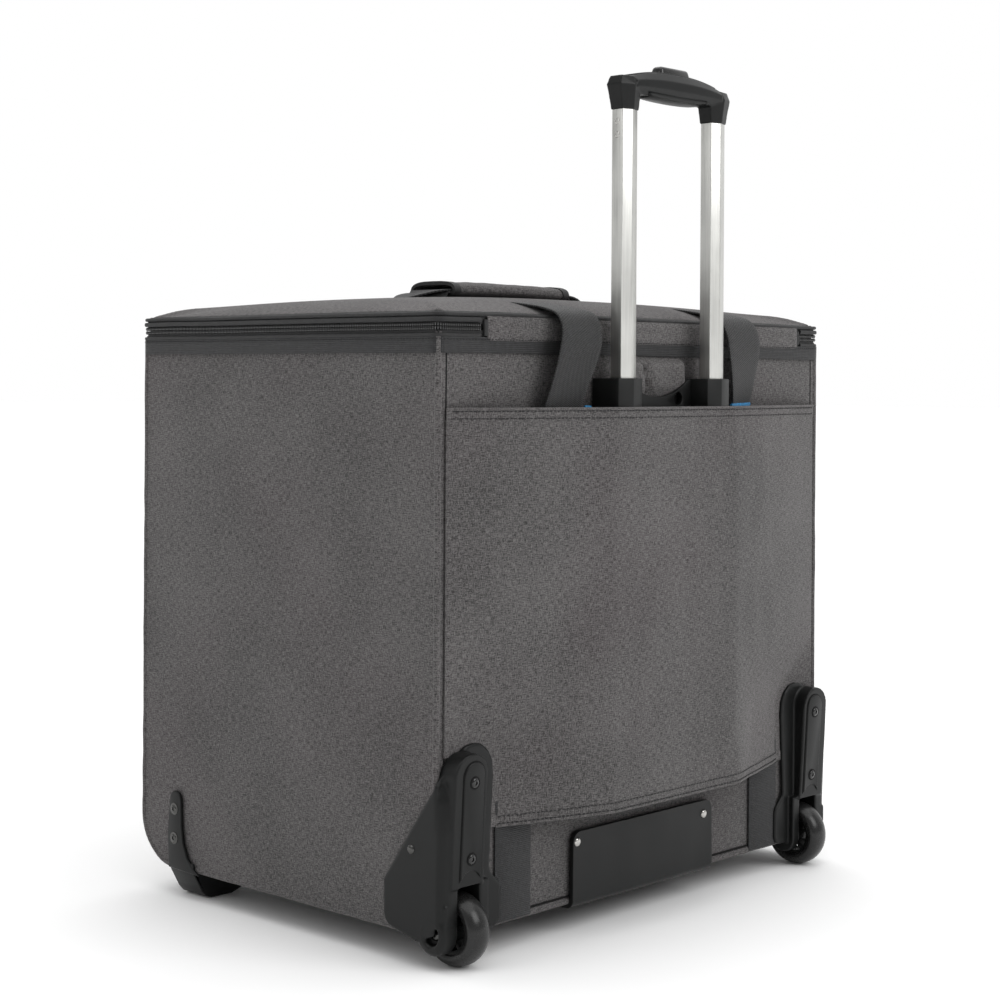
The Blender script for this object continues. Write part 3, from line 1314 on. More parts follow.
def full_strap(sign, run_height, roots, sag):
    """Both halves of a strap, lifted by the wrap's arch."""
    halves = [lid_strap(sign, run_height, root) for root in roots]
    whole = [left + [Vector((-p.x, p.y, p.z)) for p in right[-2::-1]] for left, right in zip(*halves)]
    for edge in whole:
        for p in edge:
            p.z += sag(p)
    if sign < 0:
        whole = whole[::-1]
    return strap_mesh(*whole)


WRAP_LOW = case_box("strap_wrap")[0]
REAR_RUN, FRONT_RUN = WRAP_LOW.z + 0.0022, WRAP_LOW.z + 0.0044
ARCH = 0.0030


def arch(x, end=0.125):
    """The carried-up shape of the wrap and the straps in it."""
    return ARCH * max(0.0, 1 - (x / end) ** 2)


rear_mesh, rear_length = full_strap(1, REAR_RUN, (ROOTS["left"], ROOTS["right"]),
                                    lambda p: arch(p.x) * (1 - smooth(p.y, 0.03, 0.09)))
rear_strap = keep("rear_strap", rear_mesh, WEBBING, None, "webbing",
                  ["carry_strap_rear", "strap_root_left", "strap_root_right"], cloth=False)
front_mesh, front_length = full_strap(-1, FRONT_RUN, (None, None),
                                      lambda p: arch(p.x) * (1 - smooth(-p.y, 0.03, 0.09)))
front_strap = keep("front_strap", front_mesh, WEBBING, "lid", "webbing", ["carry_strap_front"],
                   cloth=False)
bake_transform(rear_strap)
print("rear strap", round(rear_length, 3), "m, front strap", round(front_length, 3), "m")

# %% [markdown]
# The wrap is a padded cloth sleeve that closes round both straps and makes them one handle. It is a
# flattened tube with a gentle arch and an open slot through it. One subdivision rounds it, noise gives
# its top small tufts, and both ends are bound in black tape. One sewn line runs along the top.

# %% Strap wrap
WRAP_HALF = 0.0785
WRAP_WIDE = 0.0305


def sleeve(half_length, wide, low, high, wall_thick, step=0.006):
    """A closed tube with a flat oval section and an open slot through it, arched along X."""
    outer = [(wide * math.copysign(abs(math.cos(t)) ** 0.6, math.cos(t)),
              (low + high) / 2 + (high - low) / 2 * math.copysign(abs(math.sin(t)) ** 0.75, math.sin(t)))
             for t in (2 * math.pi * i / 28 for i in range(28))]
    outer = [(y * (1 - 0.16 * (z - low) / (high - low)), z) for y, z in outer]
    inner = [(y * (1 - wall_thick / wide),
              (low + high) / 2 + (z - (low + high) / 2) * (1 - 2 * wall_thick / (high - low)))
             for y, z in outer]
    xs = levels(-half_length, half_length, step)
    verts = [(x, y, z + arch(x)) for x in xs for y, z in outer + inner]
    n, faces = len(outer), []
    for i in range(len(xs) - 1):
        for j in range(n):
            k, m, o = i * 2 * n, (i + 1) * 2 * n, (j + 1) % n
            faces.append((k + j, m + j, m + o, k + o))
            faces.append((k + n + o, m + n + o, m + n + j, k + n + j))
    for k in (0, (len(xs) - 1) * 2 * n):
        for j in range(n):
            o = (j + 1) % n
            faces.append((k + j, k + o, k + n + o, k + n + j))
    return plain(verts, faces)


WRAP_FLOOR, WRAP_ROOF = WRAP_LOW.z - 0.0022, WRAP_LOW.z + 0.0112
wrap_mesh = sleeve(WRAP_HALF, WRAP_WIDE, WRAP_FLOOR, WRAP_ROOF, 0.0022)
wrap_mesh = settle(wrap_mesh, ("SUBSURF", {"levels": 1, "render_levels": 1}))
for vertex in wrap_mesh.vertices:
    tuft = noise.noise(vertex.co * 42) * 0.0007 + 0.0004 * noise.noise(vertex.co * 110)
    vertex.co.z += tuft if vertex.co.z > (WRAP_FLOOR + WRAP_ROOF) / 2 else 0.0
wrap = keep("handle_wrap", wrap_mesh, FABRIC, "lid", "fabric", ["strap_wrap"])
for side, sign in SIDES:
    binding = sleeve(0.0042, WRAP_WIDE + 0.0012, WRAP_FLOOR - 0.0002, WRAP_ROOF + 0.0010, 0.0036, 0.002)
    drop = arch(WRAP_HALF) - arch(0.0)
    binding.transform(Matrix.Translation((sign * (WRAP_HALF - 0.003), 0, drop)))
    keep(f"wrap_binding_{side}", binding, TAPE, "lid", "webbing")
line = [Vector((x, -0.004, WRAP_ROOF + 0.0001 + arch(x)))
        for x in levels(-WRAP_HALF + 0.006, WRAP_HALF - 0.006, 0.006)]
stitches("wrap_stitches", [line], GREY_THREAD, "lid", 0.0040)
print("wrap", round(2 * WRAP_HALF, 3), "long")

# %% [markdown]
# The hard mouldings have small round edges everywhere, which a machined-looking CAD solid lacks. Two
# ways give them. A copy of the CAD mesh can be merged and bevelled, which keeps it light and exact.
# Where several volumes flow into one moulding, as at a wheel housing, the shapes are remeshed together
# finely and smoothed, so that every inside corner gets a fillet too.

# %% Refined copies of CAD nodes
def copy_of(node):
    """A CAD node's mesh in case coordinates, merged and with its flat faces whole again."""
    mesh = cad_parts[node].data.copy()
    mesh.transform(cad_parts[node].matrix_world @ Matrix.Translation((0, -SHIFT, 0)))
    bm = bmesh.new()
    bm.from_mesh(mesh)
    bmesh.ops.remove_doubles(bm, verts=bm.verts, dist=2e-5)
    bmesh.ops.dissolve_limit(bm, angle_limit=math.radians(2), verts=bm.verts, edges=bm.edges)
    bm.to_mesh(mesh)
    bm.free()
    return mesh


def refined(node, material, body, slot, width=0.0008, segments=2, name=None, sharp=35):
    """A bevelled copy that replaces the node."""
    bevel = {"width": width, "segments": segments, "limit_method": "ANGLE",
             "angle_limit": math.radians(30),
             "harden_normals": False}
    mesh = settle(copy_of(node), ("BEVEL", bevel))
    return keep(name or node + "_finished", mesh, material, body, slot, [node], sharp)


def flowed(name, shapes, material, body, slot, replaces, voxel=0.0011, rounds=5, keep_share=0.35,
           adjust=None):
    """Shapes remeshed as one and smoothed, so that their corners flow together."""
    steps = [("REMESH", {"mode": "VOXEL", "voxel_size": voxel}),
             ("SMOOTH", {"factor": 0.6, "iterations": rounds}), ("DECIMATE", {"ratio": keep_share})]
    mesh = settle(joined(shapes), *steps)
    if adjust:
        adjust(mesh)
    obj = keep(name, mesh, material, body, slot, replaces, sharp=180)
    print(name, len(mesh.polygons), "faces")
    return obj


def block(low, high, taper=0.0):
    """A box, with its top drawn in by taper along X and Y."""
    bm = bmesh.new()
    bmesh.ops.create_cube(bm, size=1.0)
    low, high = Vector(low), Vector(high)
    for vertex in bm.verts:
        top = vertex.co.z > 0
        vertex.co = Vector([(a + b) / 2 + c * (b - a) for a, b, c in zip(low, high, vertex.co)])
        if top and taper:
            vertex.co.x += math.copysign(taper, (low.x + high.x) / 2 - vertex.co.x)
            vertex.co.y += math.copysign(taper, (low.y + high.y) / 2 - vertex.co.y)
    mesh = bpy.data.meshes.new("block")
    bm.to_mesh(mesh)
    bm.free()
    return mesh


def slab(outline, plane, start, end):
    """A flat outline of (a, b) points extruded along a plane's normal."""
    place = {"XZ": lambda a, b, c: (a, c, b), "YZ": lambda a, b, c: (c, a, b),
             "XY": lambda a, b, c: (a, b, c)}[plane]
    count = len(outline)
    verts = [place(a, b, start) for a, b in outline] + [place(a, b, end) for a, b in outline]
    faces = [tuple(range(count)), tuple(range(2 * count - 1, count - 1, -1))]
    faces += [(i, (i + 1) % count, count + (i + 1) % count, count + i) for i in range(count)]
    return plain(verts, faces)


print("refining helpers ready")

# %% [markdown]
# A screw, a rivet, a wheel and a knob are all turned shapes: one profile spun about an axis. Screws and
# rivets are then stamped where they are needed by the second tree, which reads which way each one faces
# from an attribute on its point.

# %% Turned shapes and fasteners
def lathe(profile, axis="Z", at=(0, 0, 0), steps=48, ring=False):
    """(radius, height) points spun about an axis; a ring's profile closes on itself."""
    turns = [2 * math.pi * i / steps for i in range(steps)]
    place = {"X": lambda a, b, c: (c, a, b), "Y": lambda a, b, c: (a, c, b),
             "Z": lambda a, b, c: (a, b, c)}[axis]
    verts = [Vector(place(r * math.cos(t), r * math.sin(t), h)) + Vector(at)
             for r, h in profile for t in turns]
    rows = len(profile) if ring else len(profile) - 1
    faces = []
    for i in range(rows):
        for j in range(steps):
            k, m, n = i * steps, ((i + 1) % len(profile)) * steps, (j + 1) % steps
            faces.append((k + j, k + n, m + n, m + j))
    if not ring:
        faces.append(tuple(range(steps)))
        faces.append(tuple((len(profile) - 1) * steps + j for j in range(steps)))
    bm = bmesh.new()
    points = [bm.verts.new(v) for v in verts]
    for face in faces:
        bm.faces.new([points[i] for i in face])
    bmesh.ops.remove_doubles(bm, verts=bm.verts, dist=1e-6)
    bmesh.ops.dissolve_degenerate(bm, edges=bm.edges, dist=1e-6)
    bmesh.ops.recalc_face_normals(bm, faces=bm.faces)
    mesh = bpy.data.meshes.new("turned")
    bm.to_mesh(mesh)
    bm.free()
    return mesh


def screw_profile(radius, height, pit=0.42):
    """A domed head with a driver's socket in it."""
    return [(pit * radius * 0.8, height * 0.25), (pit * radius, height), (0.72 * radius, height * 0.86),
            (0.93 * radius, height * 0.5), (radius, 0.0), (radius, -0.0012)]


def rivet_profile(radius, height):
    return [(0.0004, height), (0.55 * radius, height * 0.92), (0.88 * radius, height * 0.5),
            (radius, 0.0), (radius, -0.0010)]


SCREW = stamp("screw", lathe(screw_profile(0.0042, 0.0012), steps=24))
RIVET = stamp("rivet", lathe(rivet_profile(0.0040, 0.0014), steps=20))
EYELET = stamp("eyelet",
               lathe([(0.0014, -0.0004), (0.0018, 0.0008), (0.0028, 0.0007), (0.0033, 0.0),
                      (0.0033, -0.0006)], steps=20))
PIT = stamp("pit", lathe([(0.0004, 0.0003), (0.0019, 0.0003), (0.0019, -0.0004)], steps=16))


def fasten(name, spots, stamp_obj, material, body, slot, turn=0.7):
    """Stamps a fastener at each ((x, y, z), (out x, out y, out z))."""
    mesh = bpy.data.meshes.new("spots")
    mesh.from_pydata([at for at, _ in spots], [], [])
    layer = mesh.attributes.new("out", "FLOAT_VECTOR", "POINT")
    for item, (_, out) in zip(layer.data, spots):
        item.vector = out
    result = FACING.run(mesh, Stamp=stamp_obj, Turn=turn, Material=material)
    return keep(name, result, material, body, slot, sharp=50, cloth=False)


print(len(STAMPS), "stamps")

# %% [markdown]
# A wheel housing wraps the case's corner: a flange and a tall rib at the back, a wing on the side, and
# a fork that holds the wheel. On the real moulding they flow into one thick rounded column at the
# corner. So the housing is built again here, from plain slabs and hulls sized by the CAD boxes, and
# all of them are remeshed together and smoothed. The rib's insert strip is a separate part in a narrow
# groove, held by two black screws.

# %% Wheel housings
def hull(points):
    bm = bmesh.new()
    for point in points:
        bm.verts.new(point)
    made = bmesh.ops.convex_hull(bm, input=bm.verts)
    bmesh.ops.delete(bm, geom=made["geom_interior"] + made["geom_unused"], context="VERTS")
    bmesh.ops.recalc_face_normals(bm, faces=bm.faces)
    mesh = bpy.data.meshes.new("hull")
    bm.to_mesh(mesh)
    bm.free()
    return mesh


def oval(x_low, x_high, y_low, y_high, r_out, z):
    """A plan with one big round corner, out and behind."""
    turn = arc((x_high - r_out, y_high - r_out), r_out, 0, 90, 8)
    return [(x, y, z) for x, y in [(x_low, y_low), (x_high, y_low), *turn, (x_low, y_high)]]


axle_low, axle_high = case_box("axle_bolt_left")
AXLE_Y, AXLE_Z = (axle_low.y + axle_high.y) / 2, (axle_low.z + axle_high.z) / 2
WHEEL_X = (well_low.x + well_high.x) / 2
OUTER = housing_high.x
RIB_FACE = DEEP + 0.0155
RIB_X, RIB_HALF, RIB_TOP = 0.2415, 0.0190, 0.1735
INSERT_X, INSERT_HALF, INSERT_TOP = 0.2392, 0.0116, 0.1668
EAR = 0.011
LEAN = 0.054


def leaned(at):
    """The rib's face leans out with height."""
    out = min(1.0, max(0.0, (at.y - DEEP - 0.004) / 0.0115))
    rise = max(0.068, at.z) - 0.122
    return Vector((at.x - math.copysign(0.018 * rise * out, at.x), at.y + LEAN * rise * out, at.z))


def lean_mesh(mesh):
    for vertex in mesh.vertices:
        vertex.co = leaned(vertex.co)


def insert_outline(half, top, foot):
    """An arched strip with a hollow foot that clears the wheel."""
    over = arc((INSERT_X, top - half), half, 0, 180, 16)
    under = arc((INSERT_X, foot - 0.0045), half, 180 - 32, 32, 10)
    return over + [(INSERT_X - half, foot)] + under + [(INSERT_X + half, foot)]


def mirror_x(points, sign):
    return [(sign * p[0], *p[1:]) for p in points]


FLANGE = [(OUTER - 0.0005, 0.149), (0.2600, 0.157), (0.2427, 0.1728), (0.2340, 0.1770), (0.2252, 0.1783),
          (0.2165, 0.1768),
          (0.2085, 0.1710), (0.2035, 0.1625), (0.2022, 0.150), (0.2062, 0.076), (0.2050, 0.071),
          (0.1945, 0.0610),
          (0.1928, 0.0580), (0.1925, 0.0330), (0.1950, 0.0272), (0.2000, 0.0250), (0.2200, 0.0250),
          (0.2252, 0.0300), (0.2252, 0.0660), (OUTER - 0.0005, 0.0660)]
WING = [(DEEP + 0.0030, 0.150), (DEEP - 0.0545, 0.0695), (DEEP - 0.0565, 0.0660), (DEEP - 0.0565, 0.0380),
        (DEEP - 0.0545, 0.0325),
        (DEEP - 0.0500, 0.0290), (AXLE_Y - 0.0160, 0.0215), (AXLE_Y + 0.004, 0.0300),
        (DEEP + 0.0030, 0.0500)]


def housing_shapes(side, sign):
    ear = arc((AXLE_Y, AXLE_Z), 0.0150, 180, 360, 16) + [(AXLE_Y + 0.015, 0.0687),
                                                         (AXLE_Y - 0.015, 0.0687)]
    ears = [slab(ear, "YZ", *sorted((sign * a, sign * (a + EAR))))
            for a in (axle_low.x, axle_high.x - EAR)]
    roof = hull(mirror_x([(x, y, z) for x in (axle_low.x, OUTER - 0.002)
                          for y in (WELL_FRONT + 0.0003, DEEP + 0.0030)
                          for z in (0.0655, 0.0687)], sign))
    flange = slab(mirror_x(FLANGE, sign), "XZ", DEEP + 0.0004, DEEP + 0.0044)
    rib = slab(mirror_x(arc((RIB_X, RIB_TOP - RIB_HALF), RIB_HALF, 0, 180, 20)
                        + [(RIB_X - RIB_HALF, 0.0665), (RIB_X + RIB_HALF, 0.0665)], sign),
               "XZ", DEEP + 0.0010, RIB_FACE)
    wing = slab(WING, "YZ", *sorted((sign * (WIDE + 0.0004), sign * OUTER)))
    inside = WHEEL_X + 0.0130
    column = [hull(mirror_x(oval(inside, OUTER, AXLE_Y - 0.014, DEEP + 0.0138, 0.0095, 0.036)
                            + oval(inside, OUTER, AXLE_Y - 0.012, DEEP + 0.0138, 0.0095, 0.110), sign)),
              hull(mirror_x(oval(inside, OUTER, AXLE_Y - 0.012, DEEP + 0.0138, 0.0095, 0.110)
                            + oval(inside, OUTER - 0.0010, AXLE_Y - 0.002, DEEP + 0.0105, 0.0090, 0.136),
                            sign)),
              hull(mirror_x(oval(inside, OUTER - 0.0010, AXLE_Y - 0.002, DEEP + 0.0105, 0.0090, 0.136)
                            + oval(inside, OUTER - 0.0110, DEEP - 0.001, DEEP + 0.0048, 0.0045, 0.1640),
                            sign))]
    boss = lathe([(0.0085, OUTER - 0.0155), (0.0085, OUTER - 0.0010), (0.0105, OUTER + 0.0002),
                  (0.0150, OUTER - 0.0006),
                  (0.0170, OUTER - 0.0026), (0.0170, OUTER - 0.0155)], "X", (0, AXLE_Y, AXLE_Z), 40,
                  ring=True)
    if sign < 0:
        boss.transform(Matrix.Scale(-1, 4, (1, 0, 0)))
        boss.flip_normals()
    arm = hull(mirror_x([(x, y, z) for x in (OUTER - 0.0155, OUTER - 0.0025)
                         for y, z in ((AXLE_Y - 0.0165, 0.054), (AXLE_Y + 0.0160, 0.054),
                                      (AXLE_Y + 0.0160, 0.0385), (AXLE_Y - 0.0165, 0.0385))], sign))
    return [*ears, roof, flange, rib, wing, *column, boss, arm]


RING = stamp("ring", lathe([(0.0040, 0.0004), (0.0054, 0.0003), (0.0054, -0.0008), (0.0040, -0.0008)],
                           steps=24, ring=True))
for side, sign in SIDES:
    flowed(f"wheel_housing_{side}_finished", housing_shapes(side, sign), BLACK, "case", "black_plastic",
           [f"wheel_housing_{side}"], voxel=0.0011, rounds=4, adjust=lean_mesh)
    groove = slab(mirror_x(insert_outline(INSERT_HALF + 0.0009, INSERT_TOP + 0.0009, 0.0712), sign), "XZ",
                  RIB_FACE - 0.002, RIB_FACE + 0.0003)
    lean_mesh(groove)
    keep(f"insert_groove_{side}", groove, DARK, "case", "black_plastic")
    strip = slab(mirror_x(insert_outline(INSERT_HALF, INSERT_TOP, 0.0720), sign), "XZ", RIB_FACE - 0.002,
                 RIB_FACE + 0.0013)
    strip = settle(strip, ("BEVEL",
                           {"width": 0.0010, "segments": 3, "limit_method": "ANGLE",
                            "angle_limit": math.radians(50)}))
    lean_mesh(strip)
    keep(f"rib_insert_{side}", strip, BLACK, "case", "black_plastic")
    spots = [(leaned(Vector((sign * INSERT_X, RIB_FACE + 0.0014, z))), (0, 1, -LEAN))
             for z in (0.1500, 0.0885)]
    fasten(f"rib_screws_{side}", spots, SCREW, GLOSS_BLACK, "case", "black_plastic")
    fasten(f"screw_rings_{side}", spots, RING, DARK, "case", "black_plastic")
    fasten(f"wing_rivet_{side}", [((sign * (OUTER + 0.0001), DEEP - 0.0245, 0.095), (sign, 0, 0))], RIVET,
           BLACK_NICKEL, "case", "steel")
    axle_head = lathe(screw_profile(0.0055, 0.0016), "X", steps=28)
    axle_head.transform(Matrix.Translation((sign * (OUTER - 0.0064), AXLE_Y, AXLE_Z))
                        @ Matrix.Scale(sign, 4, (1, 0, 0)))
    if sign < 0:
        axle_head.flip_normals()
    keep(f"axle_screw_{side}", axle_head, BLACK_NICKEL, "case", "steel")

# %% [markdown]
# The wheels are skate wheels: a hard, glossy, round tread on a spoked hub. The tread is a turned ring
# whose profile is nearly a half circle. The hub is a ring, a boss and five spokes.

# %% Wheels
TYRE_R, TYRE_HALF = 0.030, (well_high.x - well_low.x) / 2
SPOKES = 5


def tyre_mesh(x):
    side_r = 0.0235
    crown = arc((side_r, 0), TYRE_R - side_r, -90, 90, 20)
    profile = [(r, h * TYRE_HALF / (TYRE_R - side_r)) for r, h in crown]
    profile = [(0.0196, -TYRE_HALF + 0.0012), (0.0208, -TYRE_HALF + 0.0003), *profile,
               (0.0208, TYRE_HALF - 0.0003), (0.0196, TYRE_HALF - 0.0012)]
    return lathe(profile, "X", (x, AXLE_Y, AXLE_Z), 72, ring=True)


def hub_mesh(x):
    half = TYRE_HALF
    parts = [lathe([(0.0165, -half + 0.0035), (0.0194, -half + 0.0025), (0.0194, half - 0.0025),
                    (0.0165, half - 0.0035)], "X", (x, AXLE_Y, AXLE_Z), 60, ring=True),
             lathe([(0.0043, -half + 0.0010), (0.0085, -half + 0.0010), (0.0095, -half + 0.0030),
                    (0.0095, half - 0.0030),
                    (0.0085, half - 0.0010), (0.0043, half - 0.0010)], "X", (x, AXLE_Y, AXLE_Z), 40,
                    ring=True)]
    for i in range(SPOKES):
        spoke = block((-half + 0.0045, -0.0016, 0.0085), (half - 0.0045, 0.0016, 0.0172))
        spoke = settle(spoke, ("BEVEL", {"width": 0.0007, "segments": 2}))
        spoke.transform(Matrix.Translation((x, AXLE_Y, AXLE_Z))
                        @ Matrix.Rotation(math.radians(360 / SPOKES * i), 4, "X"))
        parts.append(spoke)
    return joined(parts)


for side, sign in SIDES:
    keep(f"road_tyre_{side}_finished", tyre_mesh(sign * WHEEL_X), TREAD, f"road_wheel_{side}",
         "tyre_rubber", [f"road_tyre_{side}"])
    keep(f"road_hub_{side}_finished", hub_mesh(sign * WHEEL_X), BLACK, f"road_wheel_{side}",
         "black_plastic", [f"road_hub_{side}"])
    refined(f"axle_bolt_{side}", STEEL, "case", "steel", 0.0005)
print("two wheels of radius", TYRE_R)

# %% [markdown]
# The kick plate is a flat moulding bent under the rear bottom edge, where the case scrapes over kerbs.
# A grid follows its section, its top rows are shortened to round the corners, and Solidify and Bevel
# give it a real edge. Two bright rivets hold it.

# %% Kick plate
kick_low, kick_high = case_box("kick_plate")
KICK_ROUND = 0.009
KICK_MIDDLE, KICK_HALF = (kick_low.x + kick_high.x) / 2, (kick_high.x - kick_low.x) / 2


def kick_section():
    """(distance from the top, y, z) down the plate, round the bend and under the case."""
    bend = 0.0075
    out = kick_high.y
    steps = [KICK_ROUND * (1 - math.cos(math.radians(10 * i))) for i in range(10)]
    flat = [(d, out, kick_high.z - d) for d in steps]
    flat += [(d, out, kick_high.z - d) for d in levels(0.016, kick_high.z - kick_low.z - bend, 0.008)]
    last = flat[-1][0]
    flat += [(last + bend * math.radians(15 * i), out - bend + bend * math.cos(math.radians(15 * i)),
              kick_low.z + bend - bend * math.sin(math.radians(15 * i))) for i in range(1, 7)]
    last = flat[-1][0]
    return flat + [(last + d, out - bend - d, kick_low.z) for d in (0.008, 0.016, 0.024, 0.0330)]


def kick_mesh():
    verts, faces = [], []
    across = [-1, -0.985] + [-0.94 + 1.88 * i / 16 for i in range(17)] + [0.985, 1]
    rows = kick_section()
    for d, y, z in rows:
        short = KICK_ROUND - math.sqrt(max(0.0, KICK_ROUND ** 2 - max(0.0, KICK_ROUND - d) ** 2))
        for u in across:
            dish = 0.0006 * noise.noise(Vector((u * 3, z * 20, 17.0)))
            verts.append((KICK_MIDDLE + u * (KICK_HALF - short), y + dish, z))
    count = len(across)
    for i in range(len(rows) - 1):
        for j in range(count - 1):
            k = i * count + j
            faces.append((k, k + 1, k + count + 1, k + count))
    mesh = plain(verts, faces)
    towards = sum((Vector(f.normal) * f.area for f in mesh.polygons), Vector())
    if towards.y < 0:
        mesh.flip_normals()
    return settle(mesh, ("SOLIDIFY", {"thickness": 0.0042, "offset": -1}),
                  ("BEVEL", {"width": 0.0010, "segments": 3, "limit_method": "ANGLE",
                             "angle_limit": math.radians(50)}))


keep("kick_plate_finished", kick_mesh(), BLACK, "case", "black_plastic", ["kick_plate"])
kick_spots = [((0.0990, kick_high.y + 0.0002, 0.0775), (0, 1, 0)),
              ((-0.0780, kick_high.y + 0.0002, 0.0740), (0, 1, 0))]
fasten("kick_rivets", kick_spots, RIVET, NICKEL, "case", "steel")
print("kick plate", round(2 * KICK_HALF, 3), "wide")

# %% [markdown]
# The handle's two tubes are drawn with a hexagonal section, so each shows three bands of light. They
# stand in two full-depth sockets joined by a bridge with a scooped top. Each socket is a block whose
# rear repeats the tube's facets, larger, and the tube's own hole is cut through it.

# %% Tubes, sockets and bridge
tube_low, tube_high = case_box("inner_tube_left")
TUBE_X, TUBE_Y = (tube_low.x + tube_high.x) / 2, (tube_low.y + tube_high.y) / 2


def six_sided(x, half_wide, half_flat, half_deep):
    return [(x + half_wide, TUBE_Y - half_flat), (x + half_wide, TUBE_Y + half_flat),
            (x, TUBE_Y + half_deep),
            (x - half_wide, TUBE_Y + half_flat), (x - half_wide, TUBE_Y - half_flat),
            (x, TUBE_Y - half_deep)]


def bored(mesh, tool):
    """The mesh with another cut out of it."""
    cutter = bpy.data.objects.new("tool", tool)
    bpy.context.scene.collection.objects.link(cutter)
    result = settle(mesh, ("BOOLEAN", {"operation": "DIFFERENCE", "solver": "EXACT", "object": cutter}))
    bpy.data.objects.remove(cutter)
    return result


def socket(sign):
    """A full-depth block whose rear repeats the tube's facets, with the tube's hole in it."""
    side = 0.0160
    plan = [(TUBE_X + side, DEEP + 0.0018), (TUBE_X + side, TUBE_Y + 0.0082), (TUBE_X, TUBE_Y + 0.0118),
            (TUBE_X - side, TUBE_Y + 0.0082), (TUBE_X - side, DEEP + 0.0018)]
    shape = slab(mirror_x(plan, sign), "XY", socket_low.z, socket_high.z)
    hole = slab(six_sided(sign * TUBE_X, 0.01050, 0.0061, 0.0096), "XY", socket_low.z - 0.01,
                socket_high.z + 0.01)
    return bored(shape, hole)


def bridge():
    """The plate between the sockets, scooped along its top, with one round hole."""
    radius, depth = 0.066, 0.0165
    centre = socket_high.z - depth + radius
    scoop = [(x, centre - math.sqrt(radius ** 2 - x ** 2)) for x in levels(-0.0425, 0.0425, 0.0035)]
    outline = [(-0.049, socket_low.z + 0.002), (-0.049, socket_high.z - 0.0005), *scoop,
               (0.049, socket_high.z - 0.0005), (0.049, socket_low.z + 0.002)]
    plate = slab(outline, "XZ", DEEP + 0.0060, DEEP + 0.0120)
    hole = lathe([(0.0057, -0.02), (0.0057, 0.02)], "Y", steps=28)
    hole.transform(Matrix.Translation((-0.0285, DEEP + 0.009, 0.4560)))
    return bored(plate, hole)


socket_parts = [socket(1), socket(-1), bridge()]
soften_edges = {"width": 0.0007, "segments": 2, "limit_method": "ANGLE", "angle_limit": math.radians(18)}
socket_parts = [settle(part, ("BEVEL", soften_edges)) for part in socket_parts]
keep("tube_sockets", joined(socket_parts), BLACK, "case", "black_plastic", ["top_bracket"], sharp=30)
backing = block((-0.040, DEEP + 0.0030, socket_low.z + 0.004), (-0.018, DEEP + 0.0056, 0.4640))
keep("hole_backing", settle(backing, ("BEVEL", {"width": 0.0006, "segments": 2})), DARK, "case",
     "black_plastic")
refined("foot_bracket", BLACK, "case", "black_plastic", 0.0010)
for side, sign in SIDES:
    refined(f"outer_tube_{side}", ALUMINIUM, "case", "aluminium", 0.0004)
    refined(f"inner_tube_{side}", ALUMINIUM, "handle", "aluminium", 0.0006, 3, sharp=20)
rivet_spots = [((sign * (tube_high.x - 0.0006), TUBE_Y, case_box("grip")[0].z - drop), (sign, 0, 0))
               for _, sign in SIDES for drop in (0.0100, 0.0215)]
fasten("tube_eyelets", rivet_spots, EYELET, NICKEL, "handle", "steel")
fasten("tube_eyelet_pits", rivet_spots, PIT, DARK, "handle", "steel")
print("tubes", round(2 * TUBE_X, 3), "apart")

# %% [markdown]
# The grip is one moulding with a faceted column over each tube and a bar between them that swells into
# a soft belly for the fingers. Each column is a hull from the tube's six sides up to a wider shoulder.
# The bar is lofted through eight-sided sections. All are remeshed as one, then only lightly smoothed,
# so that the facets' ridges stay visible.

# %% Grip
grip_low, grip_high = case_box("grip")
GRIP_FOOT, GRIP_TOP = grip_low.z, grip_high.z


def grip_column(sign):
    foot = six_sided(sign * TUBE_X, 0.0112, 0.0064, 0.0101)
    waist = six_sided(sign * (TUBE_X + 0.0002), 0.0122, 0.0068, 0.0110)
    shoulder = six_sided(sign * (TUBE_X + 0.0008), 0.0146, 0.0078, 0.0128)
    cap = six_sided(sign * (TUBE_X - 0.0004), 0.0128, 0.0064, 0.0092)
    rings = ((foot, GRIP_FOOT), (waist, GRIP_FOOT + 0.008), (shoulder, GRIP_FOOT + 0.0215),
             (cap, GRIP_FOOT + 0.0290))
    lower = hull([(x, y, z) for ring, z in rings[:2] for x, y in ring])
    middle = hull([(x, y, z) for ring, z in rings[1:3] for x, y in ring])
    upper = hull([(x, y, z) for ring, z in rings[2:] for x, y in ring])
    return [lower, middle, upper]


def bar_section(x):
    """An eight-sided section of the bar at x."""
    reach = abs(x) / TUBE_X
    top = GRIP_TOP + 0.0004 - 0.0068 * reach ** 2.4
    low = GRIP_FOOT + 0.0135 + 0.0015 * reach
    half = 0.0138 - 0.0012 * reach ** 2
    rise = top - low
    plan = [(0.58, 1.0), (1.0, 0.66), (1.0, 0.34), (0.60, 0.0)]
    sides = plan + [(-a, b) for a, b in reversed(plan)]
    return [(x, TUBE_Y + a * half, low + b * rise) for a, b in sides]


def loft(rings):
    count = len(rings[0])
    verts = [p for ring in rings for p in ring]
    faces = [tuple(range(count)), tuple((len(rings) - 1) * count + j for j in range(count))]
    for i in range(len(rings) - 1):
        for j in range(count):
            k, m, n = i * count, (i + 1) * count, (j + 1) % count
            faces.append((k + j, k + n, m + n, m + j))
    return plain(verts, faces)


def grip_belly():
    """The soft bulge under the bar."""
    rings = []
    for x in levels(-0.0415, 0.0415, 0.004):
        swell = math.sqrt(max(0.0, 1 - (x / 0.0430) ** 2)) ** 0.7
        middle = GRIP_FOOT + 0.0165
        rings.append([(x, TUBE_Y + 0.0112 * math.cos(t),
                       middle + 0.0055 * swell * math.sin(t) * (1.0 if math.sin(t) < 0 else 0.4))
                      for t in (2 * math.pi * i / 20 for i in range(20))])
    return loft(rings)


